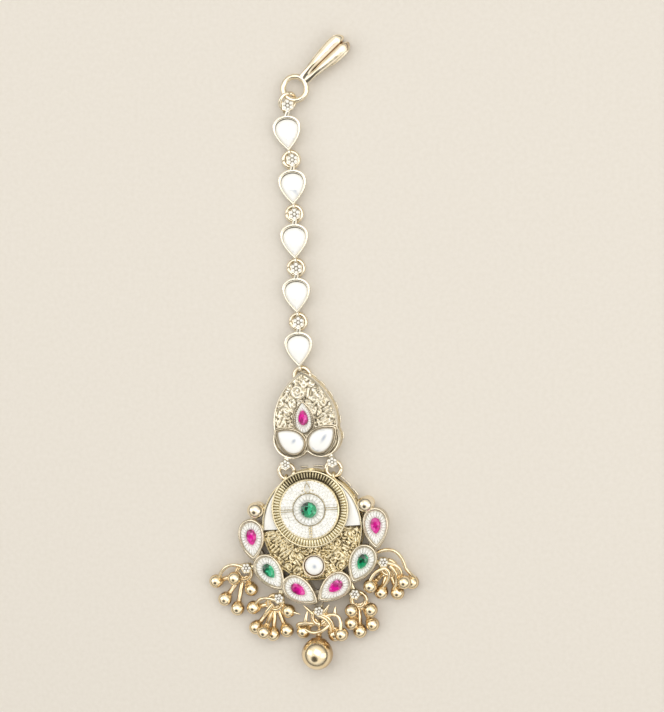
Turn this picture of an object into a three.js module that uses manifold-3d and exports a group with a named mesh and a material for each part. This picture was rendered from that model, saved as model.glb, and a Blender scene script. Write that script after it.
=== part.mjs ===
// A maang tikka, the hair ornament worn along the parting, laid out on its back.
// Millimetres, +Z up, +Y from the pendant towards the hair hook. Everything is placed from the centre
// of the pendant's round disc, and the finished group is moved to the middle of its footprint.

import * as THREE from "three";
import { mergeVertices } from "three/addons/utils/BufferGeometryUtils.js";
import Module from "manifold-3d";

const wasm = await Module();
wasm.setup();

const DEG = Math.PI / 180;

// ---------- driving dimensions ----------

const FIT_GAP = 0.3; // between a stone and its setting, and between linked pieces
const WELD = 1e-4; // vertices closer than this are one
const SINK = 0.2; // how far a soldered piece runs into its neighbour

const WIRE = 0.8; // jump ring wire
const RING_RADIUS = 1.65; // wire centre of a jump ring
const RING_HEIGHT = 1.25; // wire centre of a lying ring above the surface
const HOOK_RING = { radius: 1.9, height: 1.75, tilt: 42 };

const LUG = { outer: 1.1, hole: 0.76, thick: 0.6 };

const LINK = { length: 7.9, width: 6.3, height: 2.6, seat: 0.7, wall: 0.5, rise: 1.0 };
const TIP_LUG_Y = -4.1; // lug centre just past the pear's tip
const NECK = { width: 1.1, length: 3.3, floor: 2.0 };
const FLORET = { radius: 1.5, small: 1.3, y: 5.95, floor: 2.65, thick: 0.8, petals: 6 };

const HOOK = {
  eyeRadius: 2.6,
  eyeWire: 1.1,
  eyeHeight: 1.8,
  strip: 0.8,
  height: 3.2,
  start: 2.3,
  bend: 13.9,
  returnTip: 6.4,
  groove: 0.3,
};

const PLATE_FLOOR = 2.2; // underside of the front plates
const PLATE_TOP = 3.2;
const GALLERY_THICK = 0.5; // the open frame at the back, lying on the surface
const POST_RADIUS = 0.45;

const MOTIF = { tip: 9.8, half: 7.35, waist: -2.9, lobeX: 3.2, lobeY: -5.0, lobeRadius: 4.35 };
const MOTIF_BOW = { highX: 3.5, highY: 8.0, lowX: 7.9, lowY: 2.8 }; // what its bowed sides lean to
const MOTIF_STONE = { x: 3.6, y: -5.25, length: 8.0, width: 5.8, lean: 38, rim: 4.4 };
const MOTIF_HALO = { x: -0.3, y: -0.4, length: 7.3, width: 5.0, rim: 4.1 };
const MOTIF_LUG_Y = 7.1;
const MOTIF_FLORET = { x: 5.25, y: -10.55 };
const MOTIF_FRAME = { wall: 0.5, height: 0.5, galleryWall: 1.2 };
const MOTIF_POSTS = [
  { x: 6.6, y: -4.5 },
  { x: 4.3, y: 4.9 },
];

const DISC = {
  rim: 8.6,
  neck: 7.9,
  band: 8.2,
  field: 6.5,
  halo: 3.1,
  pocket: 2.1,
  rimTop: 4.8,
  bandFloor: 4.4,
  fieldTop: 5.6,
};
const BODY = { y: -4.0, halfWidth: 11.2, halfHeight: 12.0, border: 0.35, facets: 12 };
const BODY_GALLERY_WALL = 1.1;
const BODY_POSTS = [
  { x: 9.4, y: 1.7 },
  { x: 7.4, y: -12.2 },
];
const PENDANT_LUG = { x: 5.35, y: 6.6 };
const CRESCENT = { cutY: -4.2, innerRadius: 8.25, floor: 3.4, thick: 0.55 };
const ROUND_STONE = { y: -12.5, radius: 2.15, wall: 0.45, rim: 5.0 };
const SIDE_BALL = { x: 12.35, y: 0.3, radius: 1.85, height: 3.8 };
const PETAL = { rim: 4.6, bed: 4.2, wall: 0.5, pocket: 0.5, focus: 0.6 };

const BEAD_RADIUS = 1.55;
const STEM = { neck: 0.5, ring: 0.32 };
const DROP_BALL = { x: -1.0, y: -32.3, radius: 3.5, neck: 0.5 };

// Where the two main groups lie: the motif's middle, and how far each is turned anticlockwise.
const MOTIF_AT = { x: -1.3, y: 20.45, turn: 4.4 };
const PENDANT_TURN = 4.4;

// The chain's links from the hook down: the lean of each axis and the swing of the ring above it in
// degrees anticlockwise, the lug at its round end and how far its floret sits to the right. The first
// lug reaches out to the tilted ring.
const LINKS = [
  { lean: 5.0, swing: -15, lugY: 5.2, floretX: 0.8 },
  { lean: 2.2, swing: 11, lugY: 4.46, floretX: 0.35 },
  { lean: 1.8, swing: 2, lugY: 4.46, floretX: 0.35 },
  { lean: 2.2, swing: 2, lugY: 4.46, floretX: 0.35 },
  { lean: 2.4, swing: 2.3, lugY: 4.46, floretX: 0.35 },
];
const LAST_LINK = { x: -2.85, y: 34.95 };
const HOOK_TURN = -46.7;
const EYE_PULL = -30; // the way the hook's eye lies from the first ring

// The pear settings round the pendant's lower edge, from the left ball round to the right one: where the
// gem of each lies and how far it is turned anticlockwise from a tip on -Y.
const PETALS = [
  { x: -13.66, y: -5.55, turn: 2, length: 9.4, width: 5.9 },
  { x: -10.3, y: -13.25, turn: 33, length: 9.4, width: 6.0 },
  { x: -4.05, y: -17.7, turn: 53, length: 9.1, width: 5.8 },
  { x: 4.35, y: -17.38, turn: -55, length: 9.0, width: 5.8 },
  { x: 10.7, y: -12.22, turn: -29, length: 9.3, width: 6.0 },
  { x: 14.25, y: -4.47, turn: -2, length: 9.4, width: 5.8 },
];
const GREEN_PETALS = [1, 4];

// Florets with a lug at the pendant's edge: the way the neck of each points back to the petals (degrees
// anticlockwise from +Y), the way its jump ring hangs (from -Y), and the beads on that ring.
const CLUSTERS = [
  {
    x: -15.6,
    y: -12.5,
    hold: -90,
    hang: -38,
    beads: [
      { x: -23.0, y: -15.3, z: 1.6 },
      { x: -18.4, y: -14.6, z: 3.3 },
      { x: -15.1, y: -17.5, z: 1.6 },
      { x: -21.3, y: -19.4, z: 1.6 },
      { x: -18.6, y: -21.7, z: 1.6 },
    ],
  },
  {
    x: -8.8,
    y: -19.6,
    hold: -20,
    hang: -45,
    beads: [
      { x: -15.0, y: -21.6, z: 1.6 },
      { x: -14.8, y: -26.1, z: 1.6 },
      { x: -12.6, y: -26.9, z: 3.7 },
      { x: -11.0, y: -27.8, z: 1.6 },
      { x: -7.8, y: -27.1, z: 1.6 },
      { x: -6.9, y: -22.6, z: 2.6 },
    ],
  },
  {
    x: 0,
    y: -22.9,
    hold: -16,
    hang: -9,
    beads: [
      { x: -4.6, y: -26.9, z: 1.6 },
      { x: 4.0, y: -28.6, z: 1.7 },
    ],
  },
  {
    x: 8.3,
    y: -19.5,
    hold: 20,
    hang: 18,
    beads: [
      { x: 7.4, y: -23.0, z: 3.6 },
      { x: 11.6, y: -23.1, z: 3.0 },
      { x: 7.0, y: -25.9, z: 2.6 },
      { x: 8.6, y: -28.0, z: 1.6 },
      { x: 11.5, y: -26.6, z: 1.6 },
    ],
  },
  {
    x: 15.2,
    y: -12.8,
    hold: 90,
    hang: 27,
    beads: [
      { x: 11.6, y: -18.1, z: 3.4 },
      { x: 13.6, y: -20.3, z: 1.6 },
      { x: 17.0, y: -20.3, z: 1.6 },
      { x: 19.0, y: -17.9, z: 3.2 },
      { x: 20.6, y: -18.9, z: 1.6 },
    ],
  },
];

// Curled ribs of the cast relief: a spiral at x, y that opens to `reach`, starting at `from` degrees.
const MOTIF_SPIRALS = [
  { x: -1.3, y: 5.4, reach: 1.8, from: 200, turns: 1.25 },
  { x: 1.9, y: 6.2, reach: 1.3, from: 20, turns: 1.1 },
  { x: -4.3, y: 1.9, reach: 1.3, from: 150, turns: 1.1 },
  { x: 4.2, y: 2.6, reach: 1.3, from: 330, turns: 1.1 },
];
const FAN_SPIRALS = [
  { x: 9.2, y: -6.2, reach: 1.4, from: 90, turns: 1.25 },
  { x: 7.1, y: -9.4, reach: 1.2, from: 30, turns: 1.1 },
  { x: 4.5, y: -11.6, reach: 1.3, from: 0, turns: 1.1 },
];
// Leaf ribs that run out to the edge: where each starts and ends, bowed sideways by `bow`.
const MOTIF_LEAVES = [
  { fromX: 4.6, fromY: 0.6, toX: 6.4, toY: 1.3, bow: 0.3 },
  { fromX: 4.5, fromY: -0.6, toX: 6.7, toY: -0.2, bow: 0.3 },
  { fromX: 3.7, fromY: 4.5, toX: 5.0, toY: 4.3, bow: 0.3 },
];

// ---------- materials ----------

const metal = (color, roughness) => new THREE.MeshStandardMaterial({ color, roughness, metalness: 1 });
const stone = (color, roughness) => new THREE.MeshStandardMaterial({ color, roughness, metalness: 0 });
const antiqueGold = () => metal("#c9b27c", 0.38);
const polishedGold = () => metal("#d9b272", 0.18);
const kundanGlass = () => stone("#f4f4f0", 0.12);
const magentaGlass = () => stone("#c8107f", 0.08);
const greenGlass = () => stone("#10935f", 0.08);

// ---------- solids ----------

// A manifold solid from a three.js geometry, with doubled seams and poles welded.
function solid(geometry) {
  const bare = geometry.clone();
  bare.deleteAttribute("normal");
  bare.deleteAttribute("uv");
  const { index, attributes } = mergeVertices(bare, WELD);
  const triVerts = [];
  for (let i = 0; i < index.count; i += 3) {
    const [a, b, c] = [index.getX(i), index.getX(i + 1), index.getX(i + 2)];
    if (a !== b && b !== c && c !== a) triVerts.push(a, b, c);
  }
  return new wasm.Manifold(
    new wasm.Mesh({
      numProp: 3,
      vertProperties: attributes.position.array,
      triVerts: new Uint32Array(triVerts),
    }),
  );
}

const fuse = (geometries) => geometries.map(solid).reduce((whole, part) => whole.add(part));
const cut = (whole, geometries) => geometries.map(solid).reduce((left, part) => left.subtract(part), whole);

function piece(name, whole, material) {
  const { vertProperties, triVerts } = whole.getMesh();
  const geometry = new THREE.BufferGeometry();
  geometry.setAttribute("position", new THREE.BufferAttribute(vertProperties, 3));
  geometry.setIndex(new THREE.BufferAttribute(triVerts, 1));
  geometry.computeVertexNormals();
  const mesh = new THREE.Mesh(geometry, material);
  mesh.name = name;
  return mesh;
}

function placed(geometry, { x = 0, y = 0, z = 0, turn = 0 }) {
  return geometry.clone().rotateZ(turn * DEG).translate(x, y, z);
}

// The point at `x`, `y` of a frame that lies at `at` and is turned `at.turn` degrees.
function fromFrame(at, x, y) {
  const turned = new THREE.Vector2(x, y).rotateAround(new THREE.Vector2(), (at.turn ?? 0) * DEG);
  return turned.add(new THREE.Vector2(at.x, at.y));
}

// ---------- outlines: a point for each angle, 0 at the tip (-Y), 180 degrees at the round end ----------

const circle = (radius) => (angle) => [radius * Math.sin(angle), -radius * Math.cos(angle)];

const SLENDER = 1;
const FULL = 0.6;

// A pear: sin(a) |sin(a / 2)| ** fullness across, over the largest value that it takes. Shares of it
// shrink towards a point `focus` nearer to the round end than its middle.
const pear = (length, width, fullness = SLENDER, focus = 0) => {
  const widest = 2 * ((1 + fullness) / (2 + fullness)) ** ((1 + fullness) / 2) / Math.sqrt(2 + fullness);
  return (angle) => [
    ((width / 2) * Math.sin(angle) * Math.abs(Math.sin(angle / 2)) ** fullness) / widest,
    (-length / 2) * Math.cos(angle) - focus,
  ];
};

const LOBE_DEPTH = 0.13;
const lobed = (radius, lobes) => (angle) => {
  const reach = radius * (1 - LOBE_DEPTH + LOBE_DEPTH * Math.cos(lobes * angle));
  return [reach * Math.sin(angle), -reach * Math.cos(angle)];
};

// A body turned from a profile of [share, height] rows, drawn out so that share 1 lies on the outline.
function turned(profile, outline, segments) {
  const points = profile.map(([share, height]) => new THREE.Vector2(share, height));
  const geometry = new THREE.LatheGeometry(points, segments).rotateX(90 * DEG);
  const { position } = geometry.attributes;
  for (let i = 0; i < position.count; i++) {
    const [x, y] = [position.getX(i), position.getY(i)];
    const share = Math.hypot(x, y);
    const [edgeX, edgeY] = outline(Math.atan2(x, -y));
    position.setXY(i, share * edgeX, share * edgeY);
  }
  return geometry;
}

function slab(shape, floor, top, curveSegments = 6) {
  const options = { depth: top - floor, bevelEnabled: false, curveSegments };
  return new THREE.ExtrudeGeometry(shape, options).translate(0, 0, floor);
}

function block(width, length, floor, top) {
  return new THREE.BoxGeometry(width, length, top - floor).translate(0, 0, (floor + top) / 2);
}

function post({ x, y }) {
  const height = PLATE_FLOOR + 2 * SINK;
  const geometry = new THREE.CylinderGeometry(POST_RADIUS, POST_RADIUS, height, 6).rotateX(90 * DEG);
  return geometry.translate(x, y, height / 2);
}

// A geometry made along +Y, turned to point from one place to another.
function aimed(geometry, from, to) {
  const along = new THREE.Vector3().subVectors(to, from).normalize();
  const aim = new THREE.Quaternion().setFromUnitVectors(new THREE.Vector3(0, 1, 0), along);
  return geometry.applyQuaternion(aim);
}

// A straight rod between two points, with a radius for each end.
function rod(from, to, radiusFrom, radiusTo) {
  const middle = new THREE.Vector3().addVectors(from, to).multiplyScalar(0.5);
  const cylinder = new THREE.CylinderGeometry(radiusTo, radiusFrom, from.distanceTo(to), 5);
  return aimed(cylinder, from, to).translate(middle.x, middle.y, middle.z);
}

// A plate standing in the YZ plane round a hole along X, at ring height.
function lug({ x = 0, y = 0, turn = 0, tilt = 0 }) {
  const shape = new THREE.Shape().absarc(0, 0, LUG.outer, 0, 2 * Math.PI);
  shape.holes.push(new THREE.Path().absarc(0, 0, LUG.hole, 0, 2 * Math.PI, true));
  const upright = new THREE.Matrix4().makeBasis(
    new THREE.Vector3(0, 1, 0),
    new THREE.Vector3(0, 0, 1),
    new THREE.Vector3(1, 0, 0),
  );
  const plate = slab(shape, -LUG.thick / 2, LUG.thick / 2, 3).applyMatrix4(upright);
  return placed(plate.rotateY(tilt * DEG), { x, y, z: RING_HEIGHT, turn });
}

// A raised rib with a three-sided section along a flat curve.
function rib(curve, steps, { floor = PLATE_TOP, width = 0.45, rise = 0.4 } = {}) {
  const section = new THREE.Shape([
    new THREE.Vector2(SINK, -width / 2),
    new THREE.Vector2(SINK, width / 2),
    new THREE.Vector2(-rise, 0),
  ]);
  const points = curve.getSpacedPoints(steps).map(({ x, y }) => new THREE.Vector3(x, y, floor));
  const extrudePath = new THREE.CatmullRomCurve3(points);
  return new THREE.ExtrudeGeometry(section, { steps, extrudePath, bevelEnabled: false });
}

function spiralRib({ x, y, reach, from, turns }, mirror = 1) {
  const steps = 7;
  const points = [];
  for (let i = 0; i <= steps; i++) {
    const share = i / steps;
    const angle = (from + 360 * turns * share) * DEG;
    const radius = reach * (0.25 + 0.75 * share);
    points.push(new THREE.Vector2(mirror * (x + radius * Math.cos(angle)), y + radius * Math.sin(angle)));
  }
  return rib(new THREE.SplineCurve(points), steps);
}

function leafRib({ fromX, fromY, toX, toY, bow }) {
  const curve = new THREE.QuadraticBezierCurve(
    new THREE.Vector2(fromX, fromY),
    new THREE.Vector2((fromX + toX) / 2, (fromY + toY) / 2 + bow),
    new THREE.Vector2(toX, toY),
  );
  return rib(curve, 2);
}

// ---------- settings, florets, stones and rings ----------

// A bezel cup that flares to its rim, with a flat seat inside and a closed foot.
function bezelCup({ outline, halfWidth, foot = 0, rim, seat, wall }) {
  const inner = 1 - wall / halfWidth;
  const profile = [
    [0, foot],
    [0.84, foot],
    [1, rim],
    [inner, rim],
    [inner, rim - seat],
    [0, rim - seat],
  ];
  return turned(profile, outline, 14);
}

// A stone standing FIT_GAP clear of the wall and the seat of its cup.
function domedStone({ outline, halfWidth, wall, seatHeight, rise }) {
  const edge = 1 - (wall + FIT_GAP) / halfWidth;
  const floor = seatHeight + FIT_GAP;
  const profile = [
    [0, floor],
    [edge, floor],
    [edge, floor + rise * 0.4],
    [edge * 0.62, floor + rise * 0.86],
    [0, floor + rise],
  ];
  return turned(profile, outline, 14);
}

// A small cut stone in a pocket: a girdle, a crown and a flat table.
function cutGem({ outline, floor, rise, segments = 8 }) {
  const profile = [
    [0, floor],
    [0.8, floor],
    [1, floor + rise * 0.45],
    [0.55, floor + rise],
    [0, floor + rise],
  ];
  return turned(profile, outline, segments);
}

function floret(radius, { x, y, turn = 0 }) {
  const top = FLORET.thick;
  const profile = [
    [0, 0],
    [0.92, 0],
    [1, top - 0.25],
    [0, top + 0.1],
  ];
  const flower = turned(profile, lobed(radius, FLORET.petals), 2 * FLORET.petals);
  return placed(flower, { x, y, z: FLORET.floor, turn });
}

// A floret over a lug, held by a neck that points back along `hold` to what carries it.
function floretLug({ x, y, hold, hang }) {
  const neck = block(NECK.width, NECK.length, NECK.floor, FLORET.floor + SINK);
  return [
    floret(FLORET.small, { x, y, turn: hold }),
    lug({ x, y, turn: hang }),
    placed(neck.translate(0, NECK.length / 2, 0), { x, y, turn: hold }),
  ];
}

const torus = (radius, wire, steps = 10) => new THREE.TorusGeometry(radius, wire / 2, 4, steps);

// A lying jump ring whose wire passes through two lug centres.
function ringBetween(name, from, to) {
  const ring = piece(name, solid(torus(from.distanceTo(to) / 2, WIRE)), polishedGold());
  const middle = from.clone().add(to).multiplyScalar(0.5);
  ring.position.set(middle.x, middle.y, RING_HEIGHT);
  ring.rotation.z = Math.atan2(to.y - from.y, to.x - from.x);
  return ring;
}

// ---------- the chain ----------

const LINK_OUTLINE = pear(LINK.length, LINK.width);

function chainLink(number) {
  const { lean, swing, lugY, floretX } = LINKS[number - 1];
  const group = new THREE.Group();
  const first = number === 1;
  const cup = bezelCup({
    outline: LINK_OUTLINE,
    halfWidth: LINK.width / 2,
    rim: LINK.height,
    seat: LINK.seat,
    wall: LINK.wall,
  });
  const neck = block(NECK.width, 1.3, NECK.floor, FLORET.floor + SINK);
  const setting = fuse([
    cup,
    floret(FLORET.radius, { x: floretX, y: FLORET.y }),
    neck.translate(floretX / 2, 4.1, 0),
    lug({ y: TIP_LUG_Y }),
    lug({ y: lugY, turn: first ? swing - lean : 0, tilt: first ? HOOK_RING.tilt : 0 }),
  ]);
  const dome = domedStone({
    outline: LINK_OUTLINE,
    halfWidth: LINK.width / 2,
    wall: LINK.wall,
    seatHeight: LINK.height - LINK.seat,
    rise: LINK.rise,
  });
  group.add(piece(`chain_link_${number}`, setting, antiqueGold()));
  group.add(piece(`chain_stone_${number}`, solid(dome), kundanGlass()));
  return group;
}

// The links are laid from the motif up: each next one stands a ring's width above the last one's top lug.
function chain() {
  const group = new THREE.Group();
  const lugs = {};
  let at = { ...LAST_LINK };
  for (let number = LINKS.length; number >= 1; number--) {
    const { lean, swing, lugY } = LINKS[number - 1];
    const link = chainLink(number);
    link.position.set(at.x, at.y, 0);
    link.rotation.z = lean * DEG;
    group.add(link);
    lugs[number] = {
      tip: fromFrame({ ...at, turn: lean }, 0, TIP_LUG_Y),
      top: fromFrame({ ...at, turn: lean }, 0, lugY),
    };
    if (number > 1) {
      const nextLean = LINKS[number - 2].lean;
      const { x, y } = lugs[number].top;
      const nextTip = fromFrame({ x, y, turn: swing }, 0, 2 * RING_RADIUS);
      group.add(ringBetween(`chain_ring_${number}`, lugs[number].top, nextTip));
      const next = fromFrame({ x: nextTip.x, y: nextTip.y, turn: nextLean }, 0, -TIP_LUG_Y);
      at = { x: next.x, y: next.y };
    }
  }
  return { group, firstTop: lugs[1].top, lastTip: lugs[LINKS.length].tip };
}

// ---------- the hook ----------

// Half of the leaf's outline, from the eye to the blunt end: distance along it and half width.
const LEAF = [
  { along: 2.3, half: 1.3 },
  { along: 4.0, half: 1.4 },
  { along: 8.5, half: 2.0 },
  { along: 12.6, half: 2.35 },
  { along: 14.4, half: 2.1 },
  { along: 15.5, half: 1.3 },
];

function hairHook() {
  const { strip, height, start, bend, returnTip, groove } = HOOK;
  const middle = height / 2;
  const side = new THREE.Shape();
  side.moveTo(start, HOOK.eyeHeight + strip / 2);
  side.lineTo(6, height - 0.2);
  side.lineTo(bend, height);
  side.absarc(bend, middle, middle, 90 * DEG, -90 * DEG, true);
  side.lineTo(returnTip + 0.8, 0);
  side.lineTo(returnTip, 0.3);
  side.lineTo(returnTip + 0.8, strip);
  side.lineTo(bend, strip);
  side.absarc(bend, middle, middle - strip, -90 * DEG, 90 * DEG, false);
  side.lineTo(6, height - strip - 0.2);
  side.lineTo(start, HOOK.eyeHeight - strip / 2);
  const across = 6;
  const upright = new THREE.Matrix4().makeBasis(
    new THREE.Vector3(0, 1, 0),
    new THREE.Vector3(0, 0, 1),
    new THREE.Vector3(1, 0, 0),
  );
  const folded = slab(side, -across / 2, across / 2, 5).applyMatrix4(upright);
  const right = LEAF.map(({ along, half }) => new THREE.Vector2(half, along));
  const left = LEAF.map(({ along, half }) => new THREE.Vector2(-half, along)).reverse();
  const leaf = slab(new THREE.Shape([...right, ...left]), -1, height + 1);
  const furrow = rod(
    new THREE.Vector3(0, 4.2, height - 0.1),
    new THREE.Vector3(0, 12.6, height + 0.1),
    groove,
    groove * 1.6,
  );
  const eye = torus(HOOK.eyeRadius, HOOK.eyeWire, 14).translate(0, 0, HOOK.eyeHeight);
  const strap = cut(solid(folded).intersect(solid(leaf)), [furrow]);
  return piece("hair_hook", strap.add(solid(eye)), polishedGold());
}

// The tilted ring that joins the eye of the hook to the first link.
function hookRing(top) {
  const { radius, height, tilt } = HOOK_RING;
  const turn = LINKS[0].swing;
  const pitch = Math.asin((height - RING_HEIGHT) / radius);
  const centre = fromFrame({ x: top.x, y: top.y, turn }, 0, radius * Math.cos(pitch));
  const ring = piece("chain_ring_1", solid(torus(radius, WIRE)), polishedGold());
  ring.position.set(centre.x, centre.y, height);
  ring.rotation.set(pitch, tilt * DEG, turn * DEG, "ZXY");
  const play = radius - WIRE / 2 - HOOK.eyeWire / 2 - FIT_GAP;
  const eye = fromFrame({ x: centre.x, y: centre.y, turn: EYE_PULL }, 0, play + HOOK.eyeRadius);
  return { ring, eye };
}

// ---------- the motif ----------

function motifShape(inset = 0) {
  const { tip, half, waist, lobeX, lobeY, lobeRadius } = MOTIF;
  const { highX, highY, lowX, lowY } = MOTIF_BOW;
  const radius = lobeRadius - inset;
  const notch = -Math.acos(-lobeX / lobeRadius) / DEG;
  const shoulder = Math.atan2(waist - lobeY, half - lobeX) / DEG;
  const edgeX = lobeX + radius * Math.cos(shoulder * DEG);
  const edgeY = lobeY + radius * Math.sin(shoulder * DEG);
  const shape = new THREE.Shape();
  shape.moveTo(0, tip - 1.3 * inset);
  shape.bezierCurveTo(-highX + inset / 2, highY - inset, -lowX + inset, lowY, -edgeX, edgeY);
  shape.absarc(-lobeX, lobeY, radius, (180 - shoulder) * DEG, (180 - notch) * DEG, false);
  shape.absarc(lobeX, lobeY, radius, notch * DEG, shoulder * DEG, false);
  shape.bezierCurveTo(lowX - inset, lowY, highX - inset / 2, highY - inset, 0, tip - 1.3 * inset);
  return shape;
}

function frameOf(makeShape, { wall, floor, top, curveSegments }) {
  const shape = makeShape(0);
  shape.holes.push(makeShape(wall));
  return slab(shape, floor, top, curveSegments);
}

function motif() {
  const group = new THREE.Group();
  const { x, y, length, width, lean, rim } = MOTIF_STONE;
  const pearStone = pear(length, width, FULL);
  const bezel = bezelCup({
    outline: pearStone,
    halfWidth: width / 2,
    foot: PLATE_TOP - SINK,
    rim,
    seat: 0.6,
    wall: 0.4,
  });
  const haloOutline = pear(MOTIF_HALO.length, MOTIF_HALO.width, FULL);
  const halo = turned(
    [
      [0, PLATE_TOP - SINK],
      [0.95, PLATE_TOP - SINK],
      [1, MOTIF_HALO.rim],
      [0.88, MOTIF_HALO.rim],
      [0.84, MOTIF_HALO.rim - 0.25],
      [0.55, MOTIF_HALO.rim - 0.1],
      [0.55, PLATE_TOP + 0.2],
      [0, PLATE_TOP + 0.2],
    ],
    haloOutline,
    16,
  );
  const sides = [-1, 1];
  const { wall, height, galleryWall } = MOTIF_FRAME;
  const body = fuse([
    slab(motifShape(), PLATE_FLOOR, PLATE_TOP, 4),
    frameOf(motifShape, { wall, floor: PLATE_TOP - SINK, top: PLATE_TOP + height, curveSegments: 4 }),
    frameOf(motifShape, { wall: galleryWall, floor: 0, top: GALLERY_THICK, curveSegments: 4 }),
    placed(halo, { x: MOTIF_HALO.x, y: MOTIF_HALO.y, turn: 180 }),
    lug({ y: MOTIF_LUG_Y }),
    post({ x: 0, y: MOTIF.lobeY - 2.5 }),
    ...sides.flatMap((side) => [
      placed(bezel, { x: side * x, y, turn: side * (90 + lean) }),
      ...MOTIF_POSTS.map((row) => post({ x: side * row.x, y: row.y })),
      ...floretLug({ x: side * MOTIF_FLORET.x, y: MOTIF_FLORET.y, hold: side * 12, hang: 0 }),
    ]),
    ...MOTIF_SPIRALS.map((spiral) => spiralRib(spiral)),
    ...MOTIF_LEAVES.map(leafRib),
  ]);
  group.add(piece("motif_body", body, antiqueGold()));
  for (const side of sides) {
    const dome = domedStone({
      outline: pearStone,
      halfWidth: width / 2,
      wall: 0.4,
      seatHeight: rim - 0.6,
      rise: 0.9,
    });
    const name = side < 0 ? "motif_stone_left" : "motif_stone_right";
    const mesh = piece(name, solid(dome), kundanGlass());
    mesh.position.set(side * x, y, 0);
    mesh.rotation.z = side * (90 + lean) * DEG;
    group.add(mesh);
  }
  const gemShare = 0.55 - (2 * FIT_GAP) / MOTIF_HALO.width;
  const gem = cutGem({
    outline: pear(MOTIF_HALO.length * gemShare, MOTIF_HALO.width * gemShare, FULL),
    floor: PLATE_TOP + 0.2 + FIT_GAP,
    rise: 1.1,
  });
  const centre = piece("motif_centre_gem", solid(gem), magentaGlass());
  centre.position.set(MOTIF_HALO.x, MOTIF_HALO.y, 0);
  centre.rotation.z = Math.PI;
  group.add(centre);
  group.position.set(MOTIF_AT.x, MOTIF_AT.y, 0);
  group.rotation.z = MOTIF_AT.turn * DEG;
  return group;
}

// ---------- the pendant ----------

function bodyShape(inset = 0) {
  const { y, halfWidth, halfHeight } = BODY;
  return new THREE.Shape().absellipse(0, y, halfWidth - inset, halfHeight - inset, 0, 2 * Math.PI);
}

// The round tier: a flared rim, a sunk band, and the raised field with its halo ring in the middle.
function discTier() {
  const { rim, neck, band, halo, pocket, rimTop, bandFloor, fieldTop, field } = DISC;
  const profile = [
    [0, PLATE_TOP - SINK],
    [neck, PLATE_TOP - SINK],
    [neck, rimTop - 0.6],
    [rim, rimTop],
    [band, rimTop],
    [band, bandFloor],
    [field + 0.3, bandFloor],
    [field, fieldTop],
    [halo, fieldTop - 0.3],
    [halo - 0.4, fieldTop + 0.2],
    [pocket, fieldTop + 0.2],
    [pocket, fieldTop - 0.3],
    [0, fieldTop - 0.3],
  ];
  return turned(profile, circle(1), 24);
}

function petalCup({ length, width }) {
  const { rim, bed, wall, pocket, focus } = PETAL;
  const inner = 1 - wall / (width / 2);
  const profile = [
    [0, 0],
    [0.84, 0],
    [1, rim],
    [inner, rim],
    [inner, bed],
    [pocket, bed],
    [pocket, bed - 0.5],
    [0, bed - 0.5],
  ];
  return turned(profile, pear(length, width, FULL, focus), 14);
}

function ballOnCup(side) {
  const { x, y, radius, height } = SIDE_BALL;
  const cupProfile = [
    [0, 0],
    [1.5, 0],
    [1.1, 1.2],
    [1.6, height - 1.2],
    [0, height - 1.2],
  ];
  const arm = block(3.2, 1.4, PLATE_FLOOR, PLATE_TOP - SINK);
  return [
    placed(new THREE.SphereGeometry(radius, 8, 5).rotateX(90 * DEG), { x: side * x, y, z: height }),
    placed(turned(cupProfile, circle(1), 8), { x: side * x, y }),
    placed(arm, { x: side * (x - 1.4), y }),
  ];
}

function roundBezel() {
  const { y, radius, wall, rim } = ROUND_STONE;
  const outer = radius + wall;
  const profile = [
    [0, PLATE_TOP - SINK],
    [outer * 0.85, PLATE_TOP - SINK],
    [outer * 0.88, rim - 0.8],
    [outer, rim],
    [radius, rim],
    [radius, rim - 0.8],
    [0, rim - 0.8],
  ];
  return placed(turned(profile, circle(1), 16), { y });
}

function discArch() {
  const arch = new THREE.Shape().absarc(0, 0, DISC.rim, 0, 2 * Math.PI);
  arch.holes.push(new THREE.Path().absarc(0, 0, DISC.neck - 0.3, 0, 2 * Math.PI, true));
  return slab(arch, 0, GALLERY_THICK, 8);
}

function crescents() {
  const { cutY, innerRadius, floor, thick } = CRESCENT;
  const inset = BODY.border + FIT_GAP;
  const field = solid(slab(bodyShape(inset), floor, floor + thick, BODY.facets));
  const disc = slab(new THREE.Shape().absarc(0, 0, innerRadius, 0, 2 * Math.PI), 0, 9, 16);
  const below = new THREE.BoxGeometry(40, 40, 20).translate(0, cutY - 20, 0);
  const ringOnly = cut(field, [disc, below]);
  return [-1, 1].map((side) => {
    const half = new THREE.BoxGeometry(40, 40, 20).translate(side * 20, 0, 0);
    const name = side < 0 ? "crescent_stone_left" : "crescent_stone_right";
    return piece(name, ringOnly.intersect(solid(half)), kundanGlass());
  });
}

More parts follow.
